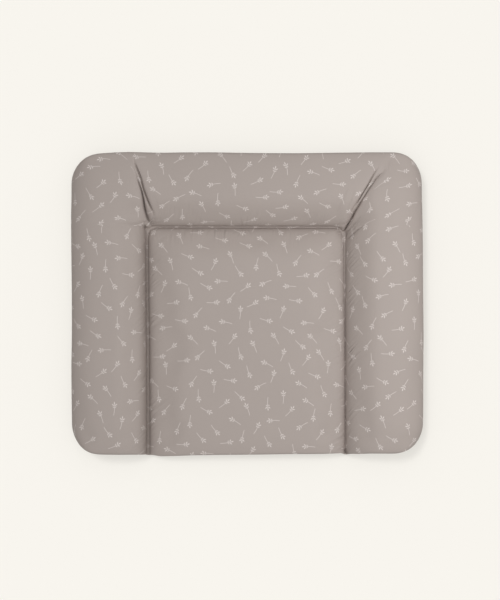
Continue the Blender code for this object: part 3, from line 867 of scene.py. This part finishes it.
class Nodes:
    """Adds nodes to one node tree. Each call takes values or other nodes' outputs as inputs."""

    def __init__(self, tree):
        self.tree = tree

    def fill(self, node, inputs):
        """Sets each named input of a node to its value, or links it."""
        for name, value in inputs.items():
            if isinstance(value, bpy.types.NodeSocket):
                self.tree.links.new(value, node.inputs[name])
            else:
                node.inputs[name].default_value = value
        return node

    def add(self, kind, inputs, **settings):
        node = self.tree.nodes.new(kind)
        for name, value in settings.items():
            setattr(node, name, value)
        return self.fill(node, inputs)

    def math(self, operation, *values):
        return self.add("ShaderNodeMath", dict(enumerate(values)), operation=operation).outputs[0]

    def times(self, first, second):
        return self.math("MULTIPLY", first, second)

    def vector(self, operation, *values):
        node = self.add("ShaderNodeVectorMath", dict(enumerate(values)), operation=operation)
        return node.outputs["Vector"]

    def scaled(self, vector, scale):
        inputs = {0: vector, "Scale": scale}
        return self.add("ShaderNodeVectorMath", inputs, operation="SCALE").outputs["Vector"]

    def turned(self, vector, angle):
        inputs = {"Vector": vector, "Angle": angle}
        return self.add("ShaderNodeVectorRotate", inputs, rotation_type="Z_AXIS").outputs["Vector"]

    def parts(self, vector):
        split = self.add("ShaderNodeSeparateXYZ", {"Vector": vector})
        return split.outputs["X"], split.outputs["Y"], split.outputs["Z"]

    def joined(self, x, y, z=0.0):
        return self.add("ShaderNodeCombineXYZ", {"X": x, "Y": y, "Z": z}).outputs["Vector"]

    def ramp(self, value, low, high, to_low=0.0, to_high=1.0):
        inputs = {"Value": value, "From Min": low, "From Max": high, "To Min": to_low, "To Max": to_high}
        return self.add("ShaderNodeMapRange", inputs, interpolation_type="SMOOTHSTEP").outputs["Result"]

    def share(self, value, low, high):
        inputs = {"Value": value, "From Min": low, "From Max": high}
        return self.add("ShaderNodeMapRange", inputs).outputs["Result"]

    def curve(self, value, points):
        """Straight pieces through points from 0 to 1 on both axes."""
        node = self.add("ShaderNodeFloatCurve", {"Value": value})
        bends = node.mapping.curves[0].points
        for at, level in points[2:]:
            bends.new(at, level)
        for bend, place in zip(bends, points):
            bend.location = place
            bend.handle_type = "VECTOR"
        node.mapping.update()
        return node.outputs[0]

    def noise(self, place, scale, detail=2.0, roughness=0.5):
        inputs = {"Vector": place, "Scale": scale, "Detail": detail, "Roughness": roughness}
        return self.add("ShaderNodeTexNoise", inputs).outputs["Fac"]

    def cells(self, place, scale):
        inputs = {"Vector": place, "Scale": scale}
        return self.add("ShaderNodeTexVoronoi", inputs).outputs["Distance"]

    def attribute(self, name):
        return self.add("ShaderNodeAttribute", {}, attribute_name=name).outputs["Fac"]

    def random(self, place):
        node = self.add("ShaderNodeTexWhiteNoise", {"Vector": place}, noise_dimensions="3D")
        return node.outputs["Color"]

    def mixed(self, share, first, second):
        inputs = {MIX_SHARE: share, MIX_FIRST: first, MIX_SECOND: second}
        return self.add("ShaderNodeMix", inputs, data_type="RGBA").outputs[MIX_RESULT]

    def group(self, tree, inputs):
        return self.add("ShaderNodeGroup", inputs, node_tree=tree).outputs

    def bump(self, height, depth):
        inputs = {"Height": height, "Distance": depth, "Strength": 1.0}
        return self.add("ShaderNodeBump", inputs).outputs["Normal"]


def new_group(name, inputs, outputs):
    """A node group with named inputs and outputs, with its input and output nodes."""
    tree = bpy.data.node_groups.new(name, "ShaderNodeTree")
    for label, kind in inputs:
        tree.interface.new_socket(label, in_out="INPUT", socket_type=f"NodeSocket{kind}")
    for label, kind in outputs:
        tree.interface.new_socket(label, in_out="OUTPUT", socket_type=f"NodeSocket{kind}")
    nodes = Nodes(tree)
    entry = tree.nodes.new("NodeGroupInput")
    leave = tree.nodes.new("NodeGroupOutput")
    return tree, nodes, entry.outputs, leave.inputs


# A sprig lies along x: a bent stem, a leaf at its tip and two pairs of smaller ones. A leaf is its
# middle, the angle it is turned by, half its length and half its width. The edges are the shares of
# a half width between which each fades out.
STEM_START, STEM_END = -0.0165, 0.0100
STEM_HALF_WIDTH = 0.00052
STEM_BEND = 5.0
STEM_EDGE = (0.8, 1.2)
LEAF_EDGE = (0.85, 1.15)
TIP_LEAF = ((0.0126, 0.0009, 0.0), -0.15, 0.0036, 0.0013)
SIDE_LEAVES = (
    ((0.0084, 0.0040, 0.0), -0.95, 0.0036, 0.0012),
    ((0.0088, -0.0032, 0.0), 0.85, 0.0036, 0.0012),
    ((0.0030, 0.0028, 0.0), -0.95, 0.0026, 0.0009),
    ((0.0034, -0.0025, 0.0), 0.85, 0.0026, 0.0009),
)


def leaf_group():
    """A small pointed leaf: 1 inside it, 0 outside."""
    inputs = [("Place", "Vector"), ("Centre", "Vector")]
    inputs += [("Angle", "Float"), ("Length", "Float"), ("Width", "Float")]
    tree, nodes, given, result = new_group("leaf", inputs, [("Mask", "Float")])
    local = nodes.turned(nodes.vector("SUBTRACT", given["Place"], given["Centre"]), given["Angle"])
    x, y, _ = nodes.parts(local)
    along = nodes.math("POWER", nodes.math("DIVIDE", nodes.math("ABSOLUTE", x), given["Length"]), 2.0)
    across = nodes.math("DIVIDE", nodes.math("ABSOLUTE", y), given["Width"])
    inside = nodes.ramp(nodes.math("ADD", along, across), *LEAF_EDGE, 1.0, 0.0)
    nodes.tree.links.new(inside, result["Mask"])
    return tree


def sprig_group(leaf):
    """One sprig round the origin: 1 on it, 0 beside it."""
    tree, nodes, given, result = new_group("sprig", [("Place", "Vector")], [("Mask", "Float")])
    x, y, _ = nodes.parts(given["Place"])
    bend = nodes.times(nodes.times(x, x), STEM_BEND)
    away = nodes.math("ABSOLUTE", nodes.math("SUBTRACT", y, bend))
    stem = nodes.ramp(away, *[STEM_HALF_WIDTH * share for share in STEM_EDGE], 1.0, 0.0)
    begun = nodes.math("GREATER_THAN", x, STEM_START)
    ended = nodes.math("LESS_THAN", x, STEM_END)
    mask = nodes.times(stem, nodes.times(begun, ended))
    for centre, angle, length, width in (TIP_LEAF, *SIDE_LEAVES):
        inputs = {"Centre": centre, "Angle": angle, "Length": length, "Width": width}
        inputs["Place"] = given["Place"]
        mask = nodes.math("MAXIMUM", mask, nodes.group(leaf, inputs)["Mask"])
    nodes.tree.links.new(mask, result["Mask"])
    return tree


# The lattice of the print: its cell, how far a sprig strays in it, and how the lattice is turned. The
# print has it twice, each with its own seed and shift.
SPRIG_CELL = 0.0625
SPRIG_SCATTER = 0.013
SPRIG_TURN = 0.31
CELL_MIDDLE = (0.5, 0.5, 0.0)
LATTICES = ((3.0, 0.0), (8.0, SPRIG_CELL / 2))


def scatter_group(sprig):
    """Sprigs scattered over a lattice, one in each cell, shifted and turned at random."""
    inputs = [("Place", "Vector"), ("Shift", "Vector"), ("Seed", "Float")]
    tree, nodes, given, result = new_group("scattered_sprigs", inputs, [("Mask", "Float")])
    place = nodes.vector("ADD", nodes.turned(given["Place"], SPRIG_TURN), given["Shift"])
    lattice = nodes.scaled(place, 1.0 / SPRIG_CELL)
    cell = nodes.vector("FLOOR", lattice)
    cell_x, cell_y, _ = nodes.parts(cell)
    chance = nodes.random(nodes.joined(cell_x, cell_y, given["Seed"]))
    red, green, blue = nodes.parts(chance)
    middle = nodes.vector("SUBTRACT", nodes.vector("SUBTRACT", lattice, cell), CELL_MIDDLE)
    shift = nodes.vector("SUBTRACT", nodes.joined(red, green), CELL_MIDDLE)
    local = nodes.vector("SUBTRACT", nodes.scaled(middle, SPRIG_CELL), nodes.scaled(shift, SPRIG_SCATTER))
    turned = nodes.turned(local, nodes.times(blue, 2.0 * math.pi))
    x, y, _ = nodes.parts(turned)
    mask = nodes.group(sprig, {"Place": nodes.joined(x, y)})["Mask"]
    nodes.tree.links.new(mask, result["Mask"])
    return tree


# The embossed grain of the films, in pebbles and finer grains to the metre.
PEBBLE_SCALE, PEBBLE_SHARE = 900.0, 0.7
FINE_SCALE, FINE_SHARE = 2400.0, 0.3
TONE_SCALE, TONE_DETAIL = 9.0, 3.0


def grain_group():
    """The films' embossed grain: a height for its relief and a mask of slow changes of tone."""
    inputs, outputs = [("Place", "Vector")], [("Height", "Float"), ("Tone", "Float")]
    tree, nodes, given, result = new_group("film_grain", inputs, outputs)
    pebbles = nodes.times(nodes.cells(given["Place"], PEBBLE_SCALE), PEBBLE_SHARE)
    fine = nodes.times(nodes.noise(given["Place"], FINE_SCALE), FINE_SHARE)
    nodes.tree.links.new(nodes.math("ADD", pebbles, fine), result["Height"])
    nodes.tree.links.new(nodes.noise(given["Place"], TONE_SCALE, TONE_DETAIL), result["Tone"])
    return tree


def new_material(name):
    made = bpy.data.materials.new(name)
    made.use_nodes = True
    nodes = Nodes(made.node_tree)
    return made, nodes, made.node_tree.nodes["Principled BSDF"]


# The films: colours, gloss, painted shade, and the depth and strength of what lies on them.
FILM_PALE = (0.427, 0.369, 0.338, 1.0)
FILM_DEEP = (0.391, 0.337, 0.309, 1.0)
PRINT_COLOUR = (0.690, 0.628, 0.596, 1.0)
SHADE_COLOUR = (0.170, 0.135, 0.118, 1.0)
GLOSSY_TONE, DULL_TONE = 0.3, 0.7
LEAST_ROUGHNESS, MOST_ROUGHNESS = 0.50, 0.56
FILM_SPECULAR = 0.35
GRAIN_DEPTH = 0.00004
# The strength of the painted shade over the left channel, and along the fine creases.
SHADE_SHARE = 0.55
MARK_SHADE_SHARE = 0.50
MARK_DEPTH = 0.0012


def film_material(name, grain, scattered=None):
    """Satin plastic film; scattered adds the print, and painted shade over the left channel and along the
    fine creases.
    """
    made, nodes, shader = new_material(name)
    place = nodes.add("ShaderNodeUVMap", {}, uv_map="flat_cut").outputs["UV"]
    surface = nodes.group(grain, {"Place": place})
    colour = nodes.mixed(surface["Tone"], FILM_DEEP, FILM_PALE)
    height = nodes.times(surface["Height"], GRAIN_DEPTH)
    if scattered:
        sprigs = []
        for seed, shift in LATTICES:
            inputs = {"Place": place, "Shift": (shift, shift, 0.0), "Seed": seed}
            sprigs.append(nodes.group(scattered, inputs)["Mask"])
        colour = nodes.mixed(nodes.math("MAXIMUM", *sprigs), colour, PRINT_COLOUR)
        marks = crease_marks(nodes)
        # Painted shade: SHADE_COLOUR laid over the left channel and its bolster's flank, where the bolster
        # keeps the light out, and along the fine creases.
        shade = nodes.times(nodes.attribute("flank_shade"), SHADE_SHARE)
        dark = nodes.math("MAXIMUM", nodes.times(marks, MARK_SHADE_SHARE), shade)
        colour = nodes.mixed(dark, colour, SHADE_COLOUR)
        pressed_in = nodes.times(marks, -MARK_DEPTH)
        height = nodes.math("ADD", nodes.math("ADD", height, pressed_in), puckers(nodes, place))
    roughness = nodes.ramp(surface["Tone"], GLOSSY_TONE, DULL_TONE, LEAST_ROUGHNESS, MOST_ROUGHNESS)
    nodes.fill(shader, {
        "Base Color": colour,
        "Roughness": roughness,
        "Specular IOR Level": FILM_SPECULAR,
        "Normal": nodes.bump(height, 1.0),
    })
    return made


# Fine creases, drawn as painted shade and a pressed-in bump: places in the photograph's pixels, how strong
# each is there, and their half widths.
# They are read at one height, and each fades out over a share of its run at both ends.
MARK_HEIGHT = 0.055
END_SHARE = 0.04
MARKS = (
    (RIGHT_FOLD_OUTER_PX, (0.9, 1.0, 1.0, 0.9, 0.7, 0.5, 0.4, 0.35, 0.35, 0.3, 0.3, 0.0), 0.55),
    (RIGHT_FOLD_INNER_PX[4:], (0.0, 0.4, 0.5, 0.5, 0.4, 0.3, 0.0), 0.6),
    (RIGHT_SIDE_PX, (0.5, 0.7, 0.6, 0.4, 0.0), 0.7),
    (((346.4, 236.5), (348.8, 229.5), (351.3, 226.8), (354.8, 225.0)), (0.3, 0.4, 0.3, 0.0), 0.6),
    (((336.5, 214.0), (341.0, 203.5), (346.0, 192.0), (349.5, 184.0)), (0.0, 0.16, 0.14, 0.0), 1.3),
    (((346.0, 214.0), (350.0, 203.0), (353.0, 194.0), (355.5, 186.5)), (0.0, 0.20, 0.16, 0.0), 1.1),
    (((348.0, 258.0), (351.5, 251.0), (355.5, 246.5)), (0.0, 0.25, 0.0), 0.8),
    (((351.0, 256.0), (354.0, 257.2), (357.5, 258.6)), (0.0, 0.30, 0.0), 0.7),
    (((356.6, 223.4), (358.6, 218.6), (361.4, 214.4)), (0.0, 0.30, 0.0), 0.6),
    (((345.3, 448.0), (345.8, 452.0), (348.2, 455.0)), (0.3, 0.9, 0.9), 1.5),
    (LEFT_FOLD_OUTER_PX[:7], (0.7, 1.0, 1.0, 0.9, 0.8, 0.5, 0.0), 0.75),
    (LEFT_FOLD_INNER_PX[2:], (0.5, 0.7, 0.7, 0.7, 0.7, 0.6, 0.0), 0.7),
    (LEFT_THIRD_PX, (0.0, 0.7, 0.8, 0.4), 0.8),
    (((161.0, 215.5), (157.8, 203.0), (153.5, 190.5)), (0.0, 0.16, 0.0), 1.0),
    (((243.0, 228.6), (240.2, 233.0), (236.0, 238.0)), (0.45, 0.30, 0.0), 0.8),
    (((245.0, 228.6), (244.6, 233.0), (242.8, 239.0)), (0.45, 0.30, 0.0), 0.8),
    (((247.0, 228.6), (250.0, 232.0), (252.0, 237.0)), (0.35, 0.20, 0.0), 0.8),
    (((238.5, 228.6), (235.0, 231.5), (230.5, 236.0)), (0.30, 0.20, 0.0), 0.8),
    (((242.5, 225.0), (241.6, 221.0), (240.0, 214.0)), (0.45, 0.25, 0.0), 0.8),
    (((246.0, 225.0), (246.8, 221.0), (247.4, 215.0)), (0.35, 0.20, 0.0), 0.8),
)


def crease_marks(nodes):
    """The fine creases as a mask, for their painted shade and their pressed-in bump. Each runs up the mat
    as a curve of its own, x by y.
    """
    x, y, _ = nodes.parts(nodes.add("ShaderNodeTexCoord", {}).outputs["Object"])
    deepest = 0.0
    for places, strengths, half_width_px in MARKS:
        path = sorted(zip([photo_point(place, MARK_HEIGHT)[::-1] for place in places], strengths))
        across = [place[1] for place, _ in path]
        low, high = path[0][0][0], path[-1][0][0]
        left, width = min(across), max(across) - min(across)
        shares = [(place[0] - low) / (high - low) for place, _ in path]
        up = nodes.share(y, low, high)
        bend = nodes.curve(up, [(share, (at - left) / width) for share, at in zip(shares, across)])
        within = [min(max(share, END_SHARE), 1.0 - END_SHARE) for share in shares]
        levels = [level for _, level in path]
        strength = nodes.curve(up, [(0.0, 0.0), *zip(within, levels), (1.0, 0.0)])
        away = nodes.math("SUBTRACT", x, nodes.math("MULTIPLY_ADD", bend, width, left))
        slant = (high - low) / math.hypot(high - low, across[-1] - across[0])
        scale = slant / (half_width_px * METRES_PER_PX)
        away = nodes.times(away, scale)
        fade = nodes.math("EXPONENT", nodes.times(nodes.times(away, away), -1.0))
        deepest = nodes.math("MAXIMUM", deepest, nodes.times(fade, strength))
    return deepest


# The puckers: how deep, how many to the metre across and along them, how those beside the side
# channels slant, and the patches that they come in.
PUCKER_DEPTH = 0.008
PUCKERS_ACROSS, PUCKERS_ALONG = 125.0, 14.0
PUCKER_SLANT = -0.6
PATCH_SCALE = 14.0
PATCH_LOW, PATCH_HIGH = 0.40, 0.65
LEAST_PATCH = 0.15
NOISE_MEAN = 0.5


def puckers(nodes, place):
    """Small folds that run away from the channels, in patches, as heights in metres."""
    total = 0.0
    for name, slant, scale in (
        ("near_head", 0.0, (PUCKERS_ACROSS, PUCKERS_ALONG, 1.0)),
        ("near_sides", PUCKER_SLANT, (PUCKERS_ALONG, PUCKERS_ACROSS, 1.0)),
    ):
        wave = nodes.noise(nodes.vector("MULTIPLY", nodes.turned(place, slant), scale), 1.0, 1.0)
        wave = nodes.math("SUBTRACT", wave, NOISE_MEAN)
        total = nodes.math("ADD", total, nodes.times(wave, nodes.attribute(name)))
    patches = nodes.ramp(nodes.noise(place, PATCH_SCALE, 1.0), PATCH_LOW, PATCH_HIGH, LEAST_PATCH)
    return nodes.times(nodes.times(total, patches), PUCKER_DEPTH)


# The wadding: fibres to the metre, mostly lying along y, and larger tufts.
WADDING_SHADED = (0.74, 0.73, 0.70, 1.0)
WADDING_WHITE = (0.90, 0.90, 0.88, 1.0)
WADDING_ROUGHNESS = 0.95
WADDING_SHEEN = 0.4
FIBRE_SCALE = (900.0, 260.0, 900.0)
FIBRE_DETAIL, FIBRE_HARDNESS, FIBRE_DEPTH = 6.0, 0.7, 0.0007
TUFT_SCALE = 55.0
TUFT_DETAIL, TUFT_HARDNESS, TUFT_DEPTH = 4.0, 0.6, 0.0022


def fleece_material():
    """White polyester wadding: matted fibres with a soft halo."""
    made, nodes, shader = new_material("fleece")
    place = nodes.add("ShaderNodeTexCoord", {}).outputs["Object"]
    stretched = nodes.vector("MULTIPLY", place, FIBRE_SCALE)
    fibres = nodes.times(nodes.noise(stretched, 1.0, FIBRE_DETAIL, FIBRE_HARDNESS), FIBRE_DEPTH)
    tufts = nodes.noise(place, TUFT_SCALE, TUFT_DETAIL, TUFT_HARDNESS)
    height = nodes.math("ADD", fibres, nodes.times(tufts, TUFT_DEPTH))
    # Painted shade: the wadding takes the shaded colour where its tufts sink low, and the white where they
    # stand high.
    nodes.fill(shader, {
        "Base Color": nodes.mixed(tufts, WADDING_SHADED, WADDING_WHITE),
        "Roughness": WADDING_ROUGHNESS,
        "Sheen Weight": WADDING_SHEEN,
        "Normal": nodes.bump(height, 1.0),
    })
    return made


# The foam: pores to the metre, their depth and how far painted shade darkens them, and its yellower
# patches.
FOAM_YELLOWED = (0.78, 0.72, 0.55, 1.0)
FOAM_PALE = (0.86, 0.82, 0.68, 1.0)
PORE_SHADE_COLOUR = (0.42, 0.36, 0.24, 1.0)
PORE_SCALE, PORE_REACH, PORE_SHARE, PORE_DEPTH = 620.0, 0.35, 0.7, 0.0009
YELLOW_SCALE, YELLOW_DETAIL = 24.0, 3.0
FOAM_ROUGHNESS = 0.9


def foam_material():
    """Open-cell foam: fine pores, a little yellowed."""
    made, nodes, shader = new_material("foam")
    place = nodes.add("ShaderNodeTexCoord", {}).outputs["Object"]
    pores = nodes.cells(place, PORE_SCALE)
    patches = nodes.noise(place, YELLOW_SCALE, YELLOW_DETAIL)
    surface = nodes.mixed(patches, FOAM_YELLOWED, FOAM_PALE)
    within = nodes.ramp(pores, 0.0, PORE_REACH, PORE_SHARE, 0.0)
    # Painted shade: each pore darkens towards its middle, where its bump lies lowest.
    nodes.fill(shader, {
        "Base Color": nodes.mixed(within, surface, PORE_SHADE_COLOUR),
        "Roughness": FOAM_ROUGHNESS,
        "Normal": nodes.bump(nodes.times(pores, PORE_DEPTH), 1.0),
    })
    return made


# The room: the colour of floor and backdrop, how much of the floor's tone is the backdrop's own, and
# how far the floor lies below the mat and reaches.
FLOOR_COLOUR = (0.930, 0.904, 0.847)
FLOOR_ROUGHNESS = 0.9
BACKDROP_SHARE = 0.6
FLOOR_GAP = 0.0002
FLOOR_SIZE = 12.0


def seen_rays(nodes):
    """1 for what the camera sees straight, in a reflection or through glass, and 0 for other light."""
    path = nodes.add("ShaderNodeLightPath", {}).outputs
    straight = nodes.math("MAXIMUM", path["Is Camera Ray"], path["Is Glossy Ray"])
    return nodes.math("MAXIMUM", straight, path["Is Transmission Ray"])


def floor_material():
    """Pale paper that keeps the mat's shadow; part of its tone is the backdrop's own."""
    made, nodes, shader = new_material("floor")
    nodes.fill(shader, {"Base Color": (*FLOOR_COLOUR, 1.0), "Roughness": FLOOR_ROUGHNESS})
    backdrop = nodes.add("ShaderNodeEmission", {"Color": (*FLOOR_COLOUR, 1.0), "Strength": 1.0})
    share = nodes.times(seen_rays(nodes), BACKDROP_SHARE)
    mixed = nodes.add("ShaderNodeMixShader", {0: share, 1: shader.outputs[0], 2: backdrop.outputs[0]})
    nodes.tree.links.new(mixed.outputs[0], nodes.tree.nodes["Material Output"].inputs["Surface"])
    return made


SENSOR_MM = 36.0


def camera():
    """Straight above the mat, with a long lens, framed as the photograph is."""
    data = bpy.data.cameras.new("camera")
    data.sensor_width = SENSOR_MM
    view_height = PHOTO_SIZE[1] * METRES_PER_PX
    data.lens = data.sensor_width * (CAMERA_HEIGHT - READING_HEIGHT) / view_height
    obj = bpy.data.objects.new("camera", data)
    bpy.context.scene.collection.objects.link(obj)
    across = (PHOTO_SIZE[0] / 2 - MAT_MIDDLE_PX[0]) * METRES_PER_PX
    up = (MAT_MIDDLE_PX[1] - PHOTO_SIZE[1] / 2) * METRES_PER_PX
    obj.location = (across, up, CAMERA_HEIGHT)
    bpy.context.scene.camera = obj


# How bright the sky and the dark ground are, and how softly they meet at the horizon.
SKY_LEVEL = 0.53
GROUND_LEVEL = 0.10
HORIZON_BLUR = 0.05


def world():
    """An even sky over dark ground, which the camera and reflections see as the pale backdrop."""
    made = bpy.data.worlds.new("studio")
    bpy.context.scene.world = made
    made.use_nodes = True
    nodes = Nodes(made.node_tree)
    upward = nodes.parts(nodes.add("ShaderNodeTexCoord", {}).outputs["Generated"])[2]
    level = nodes.ramp(upward, -HORIZON_BLUR, HORIZON_BLUR, GROUND_LEVEL, SKY_LEVEL)
    sky = nodes.fill(made.node_tree.nodes["Background"], {"Color": (1.0, 1.0, 1.0, 1.0), "Strength": level})
    backdrop = nodes.add("ShaderNodeBackground", {"Color": (*FLOOR_COLOUR, 1.0), "Strength": 1.0})
    inputs = {0: seen_rays(nodes), 1: sky.outputs[0], 2: backdrop.outputs[0]}
    mixed = nodes.add("ShaderNodeMixShader", inputs)
    nodes.tree.links.new(mixed.outputs[0], made.node_tree.nodes["World Output"].inputs["Surface"])


# The lamps: level, place and, for a sun, how wide it is in degrees. A sun at SUN_UNIT straight above
# a white surface makes it white. The mat and the floor have lamps of their own.
SUN_UNIT = math.pi
OVERHEAD_SUN = (0.18 * SUN_UNIT, (0.05, 0.1, 3.0), 60.0)
GROUND_SUN = (0.20 * SUN_UNIT, (-0.4, 0.4, 3.0), 62.0)
EDGE_SUN = (0.33 * SUN_UNIT, (-1.05, 1.05, 3.0), 15.0)
SIDE_LEVEL, SIDE_PLACE = 4.9, (0.75, 0.05, 1.1)
SIDE_WIDTH, SIDE_LENGTH = 0.7, 1.2


def lamp(name, kind, level, place, lit):
    """A lamp at place that looks at the mat, and lights only the objects in lit."""
    data = bpy.data.lights.new(name, kind)
    data.energy = level
    obj = bpy.data.objects.new(name, data)
    bpy.context.scene.collection.objects.link(obj)
    obj.location = place
    obj.rotation_euler = (-Vector(place)).to_track_quat("-Z", "Y").to_euler()
    obj.light_linking.receiver_collection = lit
    obj.visible_camera = False
    return data


def sun(name, level, place, degrees, lit):
    lamp(name, "SUN", level, place, lit).angle = math.radians(degrees)


def lights(mat_pieces, floor_pieces):
    """A wide sun and a side lamp on the mat, and two suns on the floor for its soft and near shadow."""
    sun("overhead", *OVERHEAD_SUN, mat_pieces)
    side = lamp("side", "AREA", SIDE_LEVEL, SIDE_PLACE, mat_pieces)
    side.shape = "RECTANGLE"
    side.size, side.size_y = SIDE_WIDTH, SIDE_LENGTH
    sun("ground", *GROUND_SUN, floor_pieces)
    sun("edge", *EDGE_SUN, floor_pieces)


def collection(name, objects):
    made = bpy.data.collections.new(name)
    for obj in objects:
        made.objects.link(obj)
    return made


def floor():
    select_only()
    bpy.ops.mesh.primitive_plane_add(size=FLOOR_SIZE, location=(0.0, 0.0, -FLOOR_GAP))
    obj = bpy.context.active_object
    obj.name = "floor"
    obj.visible_diffuse = False
    obj.data.materials.append(floor_material())
    obj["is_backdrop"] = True
    return obj


camera()
world()
ground = floor()
grid = top_grid()
points, shade = top_points(grid)
points = swell(grid, points)
grain = grain_group()
scattered = scatter_group(sprig_group(leaf_group()))
printed_film(grid, points, shade, film_material("printed_film", grain, scattered))
base_film(film_material("plain_film", grain))
fillings(grid, points, fleece_material(), foam_material())
lights(collection("mat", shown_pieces()), collection("ground", [ground]))
bpy.context.scene.view_settings.view_transform = "Standard"
